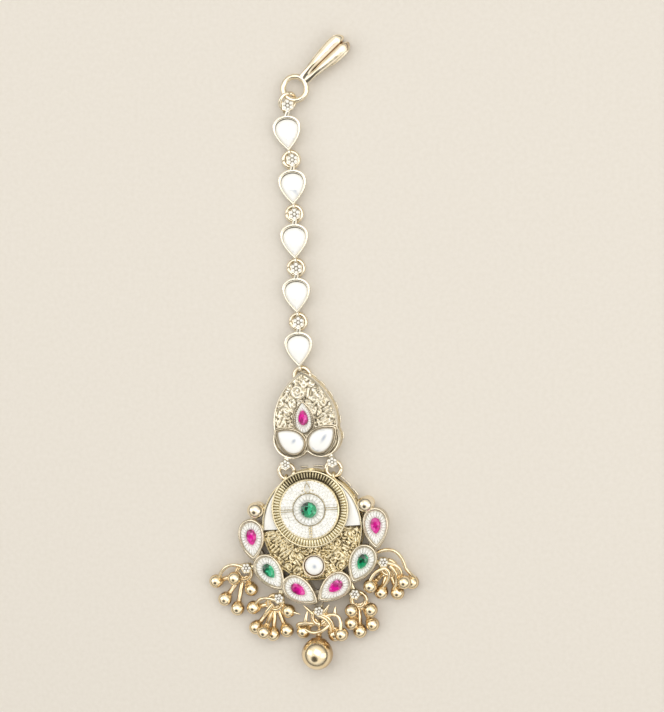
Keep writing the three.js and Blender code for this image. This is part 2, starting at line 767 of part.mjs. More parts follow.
function pendant() {
  const group = new THREE.Group();
  const sides = [-1, 1];
  const body = fuse([
    slab(bodyShape(), PLATE_FLOOR, PLATE_TOP, BODY.facets),
    frameOf(bodyShape, { wall: BODY.border, floor: PLATE_TOP - SINK, top: 3.9, curveSegments: BODY.facets }),
    frameOf(bodyShape, { wall: BODY_GALLERY_WALL, floor: 0, top: GALLERY_THICK, curveSegments: BODY.facets }),
    discArch(),
    discTier(),
    roundBezel(),
    post({ x: 0, y: DISC.rim - 0.6 }),
    ...PETALS.map((row) => placed(petalCup(row), row)),
    ...sides.flatMap((side) => [
      ...ballOnCup(side),
      ...BODY_POSTS.map((row) => post({ x: side * row.x, y: row.y })),
      lug({ x: side * PENDANT_LUG.x, y: PENDANT_LUG.y }),
      ...FAN_SPIRALS.map((spiral) => spiralRib(spiral, side)),
    ]),
    ...CLUSTERS.flatMap(floretLug),
  ]);
  group.add(piece("pendant_body", body, antiqueGold()));
  group.add(...crescents());

  const emerald = cutGem({ outline: circle(1.75), floor: DISC.fieldTop, rise: 1.3, segments: 12 });
  group.add(piece("disc_centre_gem", solid(emerald), greenGlass()));

  const roundDome = domedStone({
    outline: circle(ROUND_STONE.radius + ROUND_STONE.wall),
    halfWidth: ROUND_STONE.radius + ROUND_STONE.wall,
    wall: ROUND_STONE.wall,
    seatHeight: ROUND_STONE.rim - 0.8,
    rise: 1.2,
  });
  const round = piece("round_stone", solid(roundDome), kundanGlass());
  round.position.y = ROUND_STONE.y;
  group.add(round);

  petalGems().forEach((gem) => group.add(gem));
  group.rotation.z = PENDANT_TURN * DEG;
  return group;
}

// Petal gems are numbered as the settings are, from the left ball round to the right one.
function petalGems() {
  return PETALS.map(({ x, y, turn, length, width }, i) => {
    const share = PETAL.pocket - (2 * FIT_GAP) / width;
    const gem = cutGem({
      outline: pear(length * share, width * share, FULL, PETAL.focus * share),
      floor: PETAL.bed - 0.5 + FIT_GAP,
      rise: 1.0,
    });
    const material = GREEN_PETALS.includes(i) ? greenGlass() : magentaGlass();
    const mesh = piece(`petal_gem_${i + 1}`, solid(gem), material);
    mesh.position.set(x, y, 0);
    mesh.rotation.z = turn * DEG;
    return mesh;
  });
}

// ---------- bead clusters and the drop ball ----------

function clusterRing({ x, y, hang }) {
  const centre = fromFrame({ x, y, turn: hang }, 0, -RING_RADIUS);
  return new THREE.Vector3(centre.x, centre.y, RING_HEIGHT);
}

// A bead that tapers into the stem by which it hangs, pointing from its middle to `hold`.
function beadDrop(middle, hold) {
  const reach = middle.distanceTo(hold);
  const profile = [
    [0, -BEAD_RADIUS],
    [0.97 * BEAD_RADIUS, -0.45 * BEAD_RADIUS],
    [0.97 * BEAD_RADIUS, 0.45 * BEAD_RADIUS],
    [STEM.neck, 1.2 * BEAD_RADIUS],
    [STEM.ring, reach],
    [0, reach],
  ];
  const points = profile.map(([across, along]) => new THREE.Vector2(across, along));
  return aimed(new THREE.LatheGeometry(points, 6), middle, hold).translate(middle.x, middle.y, middle.z);
}

// A jump ring with its beads, each on a stem from the nearest point of the ring.
function beadCluster(number, row) {
  const centre = clusterRing(row);
  const drops = row.beads.map(({ x, y, z }) => {
    const flat = new THREE.Vector3(x - centre.x, y - centre.y, 0).setLength(RING_RADIUS);
    return beadDrop(new THREE.Vector3(x, y, z), centre.clone().add(flat));
  });
  const ring = torus(RING_RADIUS, WIRE).translate(centre.x, centre.y, centre.z);
  return piece(`bead_cluster_${number}`, fuse([ring, ...drops]), polishedGold());
}

function dropBall(row) {
  const { x, y, radius, neck } = DROP_BALL;
  const centre = clusterRing(row);
  const hang = new THREE.Vector2(x - centre.x, y - centre.y).setLength(RING_RADIUS);
  const turn = Math.atan2(hang.x, -hang.y) / DEG;
  const loop = lug({ x: centre.x + hang.x, y: centre.y + hang.y, turn });
  const outward = hang.clone().setLength(LUG.outer - 0.1);
  const from = new THREE.Vector3(centre.x + hang.x + outward.x, centre.y + hang.y + outward.y, RING_HEIGHT);
  const whole = fuse([
    new THREE.SphereGeometry(radius, 12, 8).translate(x, y, radius),
    rod(from, new THREE.Vector3(x, y, radius), neck, neck * 1.6),
    loop,
  ]);
  return piece("drop_ball", whole, polishedGold());
}

// ---------- the whole ornament ----------

const ornament = new THREE.Group();
const { group: chainGroup, firstTop, lastTip } = chain();
const { ring: topRing, eye } = hookRing(firstTop);
const hook = hairHook();
hook.position.set(eye.x, eye.y, 0);
hook.rotation.z = HOOK_TURN * DEG;
ornament.add(hook, topRing, chainGroup, motif());
ornament.add(ringBetween("motif_ring", lastTip, fromFrame(MOTIF_AT, 0, MOTIF_LUG_Y)));

const pendantAt = { x: 0, y: 0, turn: PENDANT_TURN };
for (const side of [-1, 1]) {
  const upper = fromFrame(MOTIF_AT, side * MOTIF_FLORET.x, MOTIF_FLORET.y);
  const lower = fromFrame(pendantAt, side * PENDANT_LUG.x, PENDANT_LUG.y);
  const name = side < 0 ? "connector_ring_left" : "connector_ring_right";
  ornament.add(ringBetween(name, upper, lower));
}

const pendantGroup = pendant();
CLUSTERS.forEach((row, i) => pendantGroup.add(beadCluster(i + 1, row)));
pendantGroup.add(dropBall(CLUSTERS[2]));
ornament.add(pendantGroup);

const footprint = new THREE.Box3().setFromObject(ornament, true);
const middle = footprint.getCenter(new THREE.Vector3());
ornament.position.set(-middle.x, -middle.y, -footprint.min.z);

const root = new THREE.Group();
root.add(ornament);
export default root;
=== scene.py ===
"""The looks of a maang tikka laid out on its back: cast gold, kundan stones, small beads and their hook.

Lengths are in millimetres, measured from the middle of the pendant's round disc, until `add_piece`
puts them in the row frame in metres. Every shape is a grid of points worked out with numpy.
"""

import logging
import math
from collections.abc import Callable, Sequence
from dataclasses import dataclass
from enum import Enum, IntEnum

import bmesh
import bpy
import numpy as np
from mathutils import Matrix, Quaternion, Vector


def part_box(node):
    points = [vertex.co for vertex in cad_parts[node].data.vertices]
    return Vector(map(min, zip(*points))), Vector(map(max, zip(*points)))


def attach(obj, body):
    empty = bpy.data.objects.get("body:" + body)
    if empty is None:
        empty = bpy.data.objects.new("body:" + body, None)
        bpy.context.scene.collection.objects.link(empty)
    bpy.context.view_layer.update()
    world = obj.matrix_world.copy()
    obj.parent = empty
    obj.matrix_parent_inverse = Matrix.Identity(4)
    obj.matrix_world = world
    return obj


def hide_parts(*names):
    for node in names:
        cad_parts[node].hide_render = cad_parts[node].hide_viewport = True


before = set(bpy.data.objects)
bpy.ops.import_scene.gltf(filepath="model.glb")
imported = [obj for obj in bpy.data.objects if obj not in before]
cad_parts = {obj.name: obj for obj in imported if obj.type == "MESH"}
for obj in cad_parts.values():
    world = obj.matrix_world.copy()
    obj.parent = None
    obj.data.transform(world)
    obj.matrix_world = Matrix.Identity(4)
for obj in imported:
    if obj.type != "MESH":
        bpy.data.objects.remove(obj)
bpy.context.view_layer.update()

logging.basicConfig(level=logging.INFO, format="%(message)s")
log = logging.getLogger("tikka")

Array = np.ndarray
Outline = Callable[[Array], Array]
Pair = tuple[float, float]
Triple = tuple[float, float, float]
Table = tuple[tuple[float, ...], ...]
Rows = Sequence[Triple]
Colour = tuple[float, float, float, float]

MM = 0.001
WELD = 1e-4  # points closer than this are one
FULL_TURN = 2 * math.pi
UP = (0.0, 0.0, 1.0)
SHARP_ANGLE = math.radians(42)


class Axis(IntEnum):
    """The axis that something turns about."""

    X = 0
    Y = 1
    Z = 2


class Slot(Enum):
    """The record's material slots."""

    ANTIQUE_GOLD = "antique_gold"
    POLISHED_GOLD = "polished_gold"
    KUNDAN = "kundan_glass"
    MAGENTA = "magenta_glass"
    GREEN = "green_glass"


class Shading(Enum):
    """How the faces of a piece meet: rounded metal, or cut facets."""

    ROUNDED = "rounded"
    FACETED = "faceted"


# ---------- placing ----------


def rotation(axis: Axis, degrees: float) -> Array:
    """The matrix that turns a point about an axis.

    Args:
        axis: the axis that stays where it is.
        degrees: how far, anticlockwise as seen from the axis's far end.

    Returns:
        A 3 × 3 matrix.
    """
    cosine, sine = math.cos(math.radians(degrees)), math.sin(math.radians(degrees))
    one, other = [(1, 2), (2, 0), (0, 1)][axis]
    matrix = np.eye(3)
    matrix[one, one] = matrix[other, other] = cosine
    matrix[one, other], matrix[other, one] = -sine, sine
    return matrix


@dataclass(frozen=True)
class Place:
    """A spot on the layout, and the turn of what lies there in degrees anticlockwise."""

    x: float = 0.0
    y: float = 0.0
    turn: float = 0.0
    z: float = 0.0

    def point(self, x: float, y: float) -> Pair:
        """Where a point given in this place's own frame lies on the layout.

        Args:
            x: across, in this place's frame.
            y: along, in this place's frame.

        Returns:
            The point on the layout.
        """
        cosine, sine = math.cos(math.radians(self.turn)), math.sin(math.radians(self.turn))
        return self.x + cosine * x - sine * y, self.y + sine * x + cosine * y


# ---------- shells: meshes in numpy ----------


def steps_round(count: int) -> Array:
    """The angles of even steps round a full turn, from 0."""
    return np.linspace(0, FULL_TURN, count, endpoint=False)


@dataclass(frozen=True)
class Shell:
    """Closed skins: points (n, 3), faces (m, 4) whose last corner is -1 on a triangle, and how deep in
    the relief each point lies (n), 0 on the worn tops and 1 in the recesses. On some pieces the depth
    also paints shade and reflections: the gems' upper left, the white ground under the pavé, the slots
    at the top of the fluted band, marks on the milky stones, the lower sides of the balls and the floret
    stones, and one flank of the hook."""

    points: Array
    faces: Array
    depth: Array

    def moved(self, offset: Sequence[float]) -> "Shell":
        """The shell pushed along by an offset."""
        return Shell(self.points + np.asarray(offset, float), self.faces, self.depth)

    def turned_by(self, matrix: Array) -> "Shell":
        """The shell turned by a 3 × 3 matrix about the origin."""
        return Shell(self.points @ matrix.T, self.faces, self.depth)

    def at(self, place: Place) -> "Shell":
        """The shell turned about the vertical and set down at a place."""
        return self.turned_by(rotation(Axis.Z, place.turn)).moved((place.x, place.y, place.z))

    def shaded(self, depth: float | Array) -> "Shell":
        """The shell with another depth, one value or one for each point."""
        return Shell(self.points, self.faces, np.broadcast_to(depth, self.depth.shape).astype(float))

    def copies(self, centres: Array, turns: Array, sizes: Array) -> "Shell":
        """Many copies, each scaled, turned about the vertical and moved: centre + turn · (size × point).

        Args:
            centres: (k, 3) where the copies stand.
            turns: (k) degrees.
            sizes: (k, 3) scale along the copy's own x, y and z.

        Returns:
            One shell with all the copies.
        """
        count, rows = len(centres), len(self.points)
        angle = np.radians(np.broadcast_to(turns, count))[:, None]
        scaled = self.points[None] * np.broadcast_to(sizes, (count, 3))[:, None]
        x = np.cos(angle) * scaled[..., 0] - np.sin(angle) * scaled[..., 1]
        y = np.sin(angle) * scaled[..., 0] + np.cos(angle) * scaled[..., 1]
        points = np.stack([x, y, scaled[..., 2]], -1) + np.asarray(centres, float)[:, None]
        shift = (np.arange(count) * rows)[:, None, None]
        faces = np.where(self.faces < 0, -1, self.faces + shift)
        return Shell(points.reshape(-1, 3), faces.reshape(-1, 4), np.tile(self.depth, count))


def join(*shells: Shell) -> Shell:
    """Several shells as one, with each one's faces moved on past the points before it."""
    starts = np.cumsum([0, *(len(shell.points) for shell in shells)])
    faces = [np.where(s.faces < 0, -1, s.faces + start) for s, start in zip(shells, starts)]
    return Shell(
        np.concatenate([s.points for s in shells]),
        np.concatenate(faces),
        np.concatenate([s.depth for s in shells]),
    )


def welded(points: Array, faces: Array, depth: Array) -> Shell:
    """Makes points that coincide one point, so that poles and seams close.

    A quad with one doubled corner becomes a triangle that starts two corners after the doubled one, and
    a face with fewer corners than three is dropped.

    Args:
        points: (n, 3) points.
        faces: (m, 4) quads.
        depth: (n) depth of each point.

    Returns:
        The welded shell.
    """
    keys = np.round(points / WELD).astype(np.int64)
    _, first, back = np.unique(keys, axis=0, return_index=True, return_inverse=True)
    faces = back.reshape(-1)[faces]
    doubled = faces == np.roll(faces, -1, axis=1)
    folded = (faces[:, 0] == faces[:, 2]) | (faces[:, 1] == faces[:, 3])
    whole = faces[~doubled.any(1) & ~folded]
    partial = doubled.sum(1) == 1
    order = (np.argmax(doubled[partial], 1)[:, None] + 2 + np.arange(3)) % 4
    triangles = np.take_along_axis(faces[partial], order, 1)
    proper = (triangles != np.roll(triangles, -1, axis=1)).all(1)
    triangles = np.pad(triangles[proper], ((0, 0), (0, 1)), constant_values=-1)
    return Shell(points[first], np.concatenate([whole, triangles]), depth[first])


def skin(points: Array, depth: Array, wrap_rows: bool = False, wrap_columns: bool = True) -> Shell:
    """Quads over one or many grids: each joins a point to the next in its row and in its column.

    Args:
        points: (..., rows, columns, 3) grids of points.
        depth: depth of the points, of a shape that spreads over the grids.
        wrap_rows: whether the last row joins the first.
        wrap_columns: whether the last column joins the first.

    Returns:
        The welded shell.
    """
    rows, columns = points.shape[-3:-1]
    grids = points.reshape(-1, rows, columns, 3)
    row, column = np.meshgrid(
        np.arange(rows if wrap_rows else rows - 1),
        np.arange(columns if wrap_columns else columns - 1),
        indexing="ij",
    )
    next_row, next_column = (row + 1) % rows, (column + 1) % columns
    corners = [(row, column), (next_row, column), (next_row, next_column), (row, next_column)]
    faces = np.stack([r * columns + c for r, c in corners], -1).reshape(1, -1, 4)
    faces = faces + (np.arange(len(grids)) * rows * columns)[:, None, None]
    shade = np.broadcast_to(depth, points.shape[:-1]).reshape(-1).astype(float)
    return welded(grids.reshape(-1, 3), faces.reshape(-1, 4), shade)


def lifted(flat: Array, height: float | Array) -> Array:
    """Flat points given a height.

    Args:
        flat: (..., 2) points.
        height: one value, or an array that spreads over the points.

    Returns:
        (..., 3) points.
    """
    return np.concatenate([flat, np.broadcast_to(height, flat.shape[:-1])[..., None]], -1)


def capped(loops: Array) -> Array:
    """A stack of loops with one more at each end, drawn to a point in the middle of its neighbour."""
    first, last = (np.broadcast_to(loop.mean(0), loop.shape)[None] for loop in (loops[0], loops[-1]))
    return np.concatenate([first, loops, last])


def loft(loops: Array, heights: Array, depth: Array, hollow: bool = False) -> Shell:
    """A skin over a stack of flat loops, from the first to the last.

    Args:
        loops: (rows, n, 2) loops seen from above.
        heights: (rows) height of each loop.
        depth: (rows) depth of each loop.
        hollow: True joins the last loop to the first, for a ring; False closes both ends in their middle.

    Returns:
        The closed shell.
    """
    heights, depth = np.asarray(heights, float), np.asarray(depth, float)
    if not hollow:
        loops, heights, depth = capped(loops), np.pad(heights, 1, "edge"), np.pad(depth, 1, "edge")
    return skin(lifted(loops, heights[:, None]), depth[:, None], wrap_rows=hollow)


def over_edge(edge: Callable[[float], Array], rows: Rows, hollow: bool = False) -> Shell:
    """A body whose edge is moved inwards at each of its heights.

    Args:
        edge: gives the (n, 2) edge for an inset, which is below 0 for outwards.
        rows: (inset, height, depth) from the foot round to the middle of the top.
        hollow: True for a ring, whose last row joins the first.

    Returns:
        The closed shell.
    """
    inset, heights, depth = np.array(rows, float).T
    return loft(np.stack([edge(i) for i in inset]), heights, depth, hollow)


def ray(angle: Array) -> Array:
    """The points at distance 1 that lie at angles from X: (cos a, sin a)."""
    return np.stack([np.cos(angle), np.sin(angle)], -1)


def ellipse(half_width: float, half_height: float) -> Outline:
    """An ellipse: for each angle (half width · sin a, -half height · cos a)."""
    return lambda a: np.stack([half_width * np.sin(a), -half_height * np.cos(a)], -1)


def circle(radius: float) -> Outline:
    """A circle: for each angle (radius · sin a, -radius · cos a)."""
    return ellipse(radius, radius)


FULL = 0.6  # fullness of the petals, the halo and the motif's stones


def pear(length: float, width: float, fullness: float = 1.0, focus: float = 0.0) -> Outline:
    """A pear with its tip at angle 0, on -Y.

    x = width / 2 · sin a · |sin(a / 2)| ** fullness, over the largest value of that product, and
    y = -length / 2 · cos a - focus.

    Args:
        length: from the tip to the round end.
        width: at its widest.
        fullness: 1 for a slender tip, less for a blunter one.
        focus: how far the origin lies from the pear's middle towards its round end.

    Returns:
        The outline.
    """
    widest = 2 * ((1 + fullness) / (2 + fullness)) ** ((1 + fullness) / 2) / math.sqrt(2 + fullness)
    return lambda a: np.stack(
        [
            width / 2 * np.sin(a) * np.abs(np.sin(a / 2)) ** fullness / widest,
            -length / 2 * np.cos(a) - focus,
        ],
        -1,
    )


def lobed(radius: float, lobes: int, hollow: float) -> Outline:
    """A flower: a circle whose reach is radius · (1 - hollow + hollow · cos(lobes · a))."""
    return lambda a: circle(1.0)(a) * (radius * (1 - hollow + hollow * np.cos(lobes * a)))[..., None]


def turned(rows: Rows, outline: Outline, half_width: float, segments: int = 64) -> Shell:
    """A body drawn round an outline, closed at its first and last rows.

    A row's loop is the outline times (half width - inset) / half width, at the row's height.

    Args:
        rows: (inset from the edge, height, depth) from the foot round to the middle of the top.
        outline: the outline at inset 0.
        half_width: the outline's half width.
        segments: points round the outline.

    Returns:
        The closed shell.
    """
    inset, heights, depth = np.array(rows, float).T
    angles = steps_round(segments)
    share = 1 - inset / half_width
    return loft(share[:, None, None] * outline(angles)[None], heights, depth)


def tubes(
    paths: Array,
    radii: float | Array,
    sides: int = 6,
    flat: float = 1.0,
    closed: bool = False,
    up: Sequence[float] = UP,
    depth: Pair = (0.0, 0.9),
) -> Shell:
    """Wires along many paths at once, closed at their ends.

    Each point of a path carries a loop: point + radius · (cos a · side + flat · sin a · lift), where side
    is square to the path and to `up`, and lift is square to both.

    Args:
        paths: (n, 3) or (k, n, 3) paths.
        radii: the wire's radius, one value or one for each point of a path.
        sides: points round the wire.
        flat: height of the section over its width.
        closed: whether each path runs back into its start.
        up: the direction that the loops stand against, never along a path.
        depth: depth on the upper side and on the lower side.

    Returns:
        All the wires as one shell.
    """
    paths = np.asarray(paths, float)
    paths = paths[None] if paths.ndim == 2 else paths
    if closed:
        along = np.roll(paths, -1, 1) - np.roll(paths, 1, 1)
    else:
        along = np.gradient(paths, axis=1)
    along /= np.linalg.norm(along, axis=-1, keepdims=True)
    side = np.cross(along, np.asarray(up, float))
    side /= np.linalg.norm(side, axis=-1, keepdims=True)
    lift = np.cross(side, along)
    angles = np.arange(sides) * FULL_TURN / sides + math.pi / 2
    radius = np.broadcast_to(radii, paths.shape[:2])[..., None, None]
    cosine, sine = np.cos(angles)[:, None], np.sin(angles)[:, None]
    points = paths[:, :, None] + radius * (cosine * side[:, :, None] + flat * sine * lift[:, :, None])
    top, bottom = depth
    shade = np.broadcast_to(top + (bottom - top) * (1 - np.sin(angles)) / 2, points.shape[:3])
    if not closed:
        caps = [np.broadcast_to(paths[:, end, None], points[:, end].shape)[:, None] for end in (0, -1)]
        points = np.concatenate([caps[0], points, caps[1]], 1)
        shade = np.pad(shade, ((0, 0), (1, 1), (0, 0)), "edge")
    return skin(points, shade, wrap_rows=closed)


def bent(start: Sequence[float], middle: Sequence[float], end: Sequence[float], count: int) -> Array:
    """A curve that leaves one point towards a second and arrives at a third:
    (1 - s)² start + 2 s (1 - s) middle + s² end.

    Args:
        start: (..., d) first points.
        middle: (..., d) points that the curve leans to.
        end: (..., d) last points.
        count: points along each curve.

    Returns:
        (..., count, d) points.
    """
    share = np.linspace(0, 1, count)[:, None]
    first, second, third = (np.asarray(p, float)[..., None, :] for p in (start, middle, end))
    return (1 - share) ** 2 * first + 2 * share * (1 - share) * second + share**2 * third


def ring_skin(radius: float, wire: float, steps: int = 56, sides: int = 12, joint: bool = True) -> Shell:
    """A lying wire ring round the origin, nipped where its two ends were closed on each other.

    The middle of the wire runs round a circle, and its thickness shrinks by 22% · exp(-(a / 0.06)²) at
    the joint.

    Args:
        radius: from the middle of the ring to the middle of the wire.
        wire: the wire's thickness.
        steps: points round the ring.
        sides: points round the wire.
        joint: whether the wire shows its joint.

    Returns:
        The ring.
    """
    angles = steps_round(steps)
    path = np.stack([radius * np.sin(angles), radius * np.cos(angles), 0 * angles], -1)
    near = np.minimum(angles, FULL_TURN - angles)
    nip = 0.22 * np.exp(-((near / 0.06) ** 2)) if joint else 0 * angles
    return tubes(path, wire / 2 * (1 - nip), sides, closed=True, depth=(0.0, 0.5))


def ball_skin(radius: float, rows: int = 5, columns: int = 8) -> Shell:
    """A ball round the origin: (r cos b cos a, r cos b sin a, r sin b)."""
    rise = np.linspace(-math.pi / 2, math.pi / 2, rows)[:, None]
    angle = steps_round(columns)[None]
    grid = np.broadcast_arrays(np.cos(rise) * np.cos(angle), np.cos(rise) * np.sin(angle), np.sin(rise))
    # the depth grows from 0 on top to 1 underneath; on the glass floret stones this paints shade on their
    # lower sides
    return skin(radius * np.stack(grid, -1), (1 - np.sin(rise)) / 2)


def tiny_stone(table: float) -> Shell:
    """A small cut stone of unit reach and unit height: a girdle, a crown that slopes in and a flat table,
    as wide as its share."""
    rows = [(0.15, -0.2, 0.0), (0.0, 0.35, 0.0), (1 - table, 1.0, 0.0)]
    return turned(rows, circle(1.0), 1.0, segments=8)


LUG_RADIUS, LUG_BAND, LUG_THICK = 0.93, 0.34, 0.6
RING_HEIGHT = 1.25  # wire centre of a lying ring above the surface
RING_RADIUS, WIRE = 1.65, 1.0
HOOK_RING_WIRE = 0.8  # thinner, for it passes through two close eyes
PLATE_FLOOR, PLATE_TOP = 2.2, 3.2
GALLERY_THICK = 0.5
SIDES = {-1: "left", 1: "right"}


def lug(place: Place, tilt: float = 0.0) -> Shell:
    """A small eye that stands upright across the layout, for a ring to hang in.

    Args:
        place: its middle, seen from above.
        tilt: degrees that it leans about its own length.

    Returns:
        The eye.
    """
    ring = ring_skin(LUG_RADIUS, LUG_BAND, steps=28, sides=10, joint=False)
    band = Shell(ring.points * (1, 1, LUG_THICK / LUG_BAND), ring.faces, ring.depth)
    upright = np.array([[0, 0, 1], [1, 0, 0], [0, 1, 0]], float)
    raised = Place(place.x, place.y, place.turn, RING_HEIGHT)
    return band.turned_by(rotation(Axis.Y, tilt) @ upright).at(raised)


def frame_rows(width: float, swell: float = 0.1) -> Rows:
    """Rows of the open frame behind a plate, from how wide it is and how far its outer side swells."""
    return [
        (0.0, 0.0, 0.4),
        (-swell, GALLERY_THICK / 2, 0.0),
        (0.0, GALLERY_THICK, 0.1),
        (width, GALLERY_THICK, 0.6),
        (width, 0.0, 0.6),
    ]


def posts(middle: float, right: Sequence[Pair]) -> Shell:
    """Waisted posts between a plate and the open frame behind it.

    Args:
        middle: how far up the layout the post on the middle line stands.
        right: the posts of the right side, which the left side mirrors.

    Returns:
        The posts.
    """
    heights, radii = (0.2, 1.3, 2.5), (0.5, 0.36, 0.5)
    spots = [(0.0, middle), *((side * x, y) for side in SIDES for x, y in right)]
    paths = (np.array([(x, y, height) for height in heights]) for x, y in spots)
    return join(*(tubes(path, radii, sides=10, up=(0, 1, 0)) for path in paths))


def way_along(path: Array) -> Array:
    """How far along a path each of its points lies."""
    return np.concatenate([[0], np.cumsum(np.linalg.norm(np.diff(path, axis=0), axis=1))])


def resampled(loop: Array, count: int) -> Array:
    """A closed loop with its points spread evenly along it.

    Args:
        loop: (n, 2) points.
        count: how many points to give back.

    Returns:
        (count, 2) points from the same start.
    """
    closed = np.concatenate([loop, loop[:1]])
    walk = way_along(closed)
    marks = np.linspace(0, walk[-1], count, endpoint=False)
    return np.stack([np.interp(marks, walk, closed[:, axis]) for axis in (0, 1)], -1)


def smooth(value: Array) -> Array:
    """0 below 0, 1 above 1 and 3 v² - 2 v³ between."""
    v = np.clip(value, 0, 1)
    return v * v * (3 - 2 * v)


# ---------- finishes ----------


def colour(code: str) -> Colour:
    """An sRGB hex code as linear RGBA: v / 12.92 below 0.04045, else ((v + 0.055) / 1.055) ** 2.4."""
    values = np.array([int(code[i : i + 2], 16) for i in (1, 3, 5)]) / 255
    linear = np.where(values <= 0.04045, values / 12.92, ((values + 0.055) / 1.055) ** 2.4)
    return (*(float(v) for v in linear), 1.0)


def per_metre(size: float) -> float:
    """The scale of a pattern whose features are `size` millimetres across."""
    return 1 / (size * MM)


Tree = bpy.types.NodeTree
Node = bpy.types.Node
Socket = bpy.types.NodeSocket
Inputs = dict[int | str, object]


@dataclass(frozen=True)
class Wiring:
    """A node tree, the shader that its nodes feed and the coordinates that its patterns follow."""

    tree: Tree
    shader: Node
    here: Socket

    def feed(self, inputs: Inputs, target: Node | None = None) -> None:
        """Links each input to the socket that feeds it, or sets its value.

        Args:
            inputs: a socket or a value for each input.
            target: the node that has the inputs, or None for the shader.
        """
        target = target or self.shader
        for key, value in inputs.items():
            if isinstance(value, Socket):
                self.tree.links.new(value, target.inputs[key])
            else:
                target.inputs[key].default_value = value

    def add(self, kind: str, inputs: Inputs, output: int | str = 0, **settings: object) -> Socket:
        """Adds a node with its settings and what feeds it.

        Args:
            kind: the node's type name after "ShaderNode".
            inputs: a socket or a value for each input.
            output: which output to give back.
            settings: the node's own properties.

        Returns:
            The output.
        """
        made = self.tree.nodes.new(f"ShaderNode{kind}")
        for name, value in settings.items():
            setattr(made, name, value)
        self.feed(inputs, made)
        return made.outputs[output]

    def depth(self) -> Socket:
        """How deep in the relief each point lies, which on some pieces also paints shade and reflections.
        """
        return self.add("Attribute", {}, "Fac", attribute_name="depth")

    def noise(self, size: float, detail: float, distortion: float = 0.0) -> Socket:
        """Soft noise with features `size` millimetres across."""
        shape = {"Scale": per_metre(size), "Detail": detail, "Distortion": distortion}
        return self.add("TexNoise", {"Vector": self.here, **shape})

    def maths(self, operation: str, *values: object, clamp: bool = False) -> Socket:
        """The result of an operation on two or three values."""
        return self.add("Math", dict(enumerate(values)), operation=operation, use_clamp=clamp)

    def ramp(
        self, value: Socket, source: Pair = (0, 1), result: Pair = (0, 1), eased: bool = False
    ) -> Socket:
        """A value carried over from one span to another.

        Args:
            value: what to carry over.
            source: the span that it has.
            result: the span that it gets.
            eased: whether it bends softly at both ends of the span.

        Returns:
            The new value.
        """
        spans = dict(zip(("From Min", "From Max", "To Min", "To Max"), (*source, *result)))
        kind = "SMOOTHSTEP" if eased else "LINEAR"
        return self.add("MapRange", {"Value": value, **spans}, interpolation_type=kind)

    def mix(self, amount: Socket, first: str | Socket, second: str) -> Socket:
        """A blend of two colours, from the first at 0 to the second at 1."""
        start = colour(first) if isinstance(first, str) else first
        return self.add("Mix", {0: amount, 6: start, 7: colour(second)}, 2, data_type="RGBA")

    def bump(self, height: Socket, strength: float, distance: float) -> Socket:
        """A surface direction bent by a height, up to `distance` millimetres."""
        return self.add("Bump", {"Height": height, "Strength": strength, "Distance": distance * MM})


@dataclass(frozen=True)
class Finish:
    """A finish of the ornament: its material's name and the record's slot that it belongs to."""

    name: str
    slot: Slot | None

    def material(self) -> bpy.types.Material:
        """The finish's material, made the first time that it is asked for."""
        made = bpy.data.materials.get(self.name)
        if made is None:
            made = bpy.data.materials.new(self.name)
            made.use_nodes = True
            tree = made.node_tree
            tree.nodes.clear()
            shader = tree.nodes.new("ShaderNodeBsdfPrincipled")
            wiring = Wiring(tree, shader, tree.nodes.new("ShaderNodeTexCoord").outputs["Object"])
            self.dress(wiring)
            wiring.feed({"Surface": shader.outputs[0]}, tree.nodes.new("ShaderNodeOutputMaterial"))
        return made

    def dress(self, wiring: Wiring) -> None:
        """Sets the shader's inputs and adds the nodes that vary them."""
        raise NotImplementedError


@dataclass(frozen=True)
class CastGold(Finish):
    """Antique gold plate over cast brass, oxidised and wiped back: the raised lines are pale, bright
    and worn smooth, and the recesses keep a dull olive-brown film."""

    worn: str = "#f6ecd2"
    warm: str = "#e6d5a8"
    film: str = "#493a20"
    film_depths: Pair = (0.34, 0.95)  # where the film begins and where it is whole
    uneven: float = 0.4  # how far the patches shift those depths
    cloud: float = 1.1  # mm across a patch of thicker film
    grain: float = 0.16  # mm, the casting's sand grain, drawn as fine as it still shows
    roughness: Pair = (0.27, 0.62)  # bare and under the film
    metallic: Pair = (1.0, 0.55)  # bare and under the film

    def dress(self, wiring: Wiring) -> None:
        """Colour, metal and roughness follow the depth in the relief, broken up by patches and grain."""
        patches, grain = wiring.noise(self.cloud, 3.0), wiring.noise(self.grain, 2.0)
        spread = wiring.maths("MULTIPLY_ADD", patches, self.uneven, -self.uneven / 2)
        film = wiring.ramp(wiring.maths("ADD", wiring.depth(), spread), self.film_depths, eased=True)
        metal = wiring.mix(patches, self.worn, self.warm)
        wiring.feed(
            {
                "Base Color": wiring.mix(film, metal, self.film),
                "Roughness": wiring.ramp(film, result=self.roughness),
                "Metallic": wiring.ramp(film, result=self.metallic),
                "Normal": wiring.bump(grain, strength=0.3, distance=0.03),
            }
        )


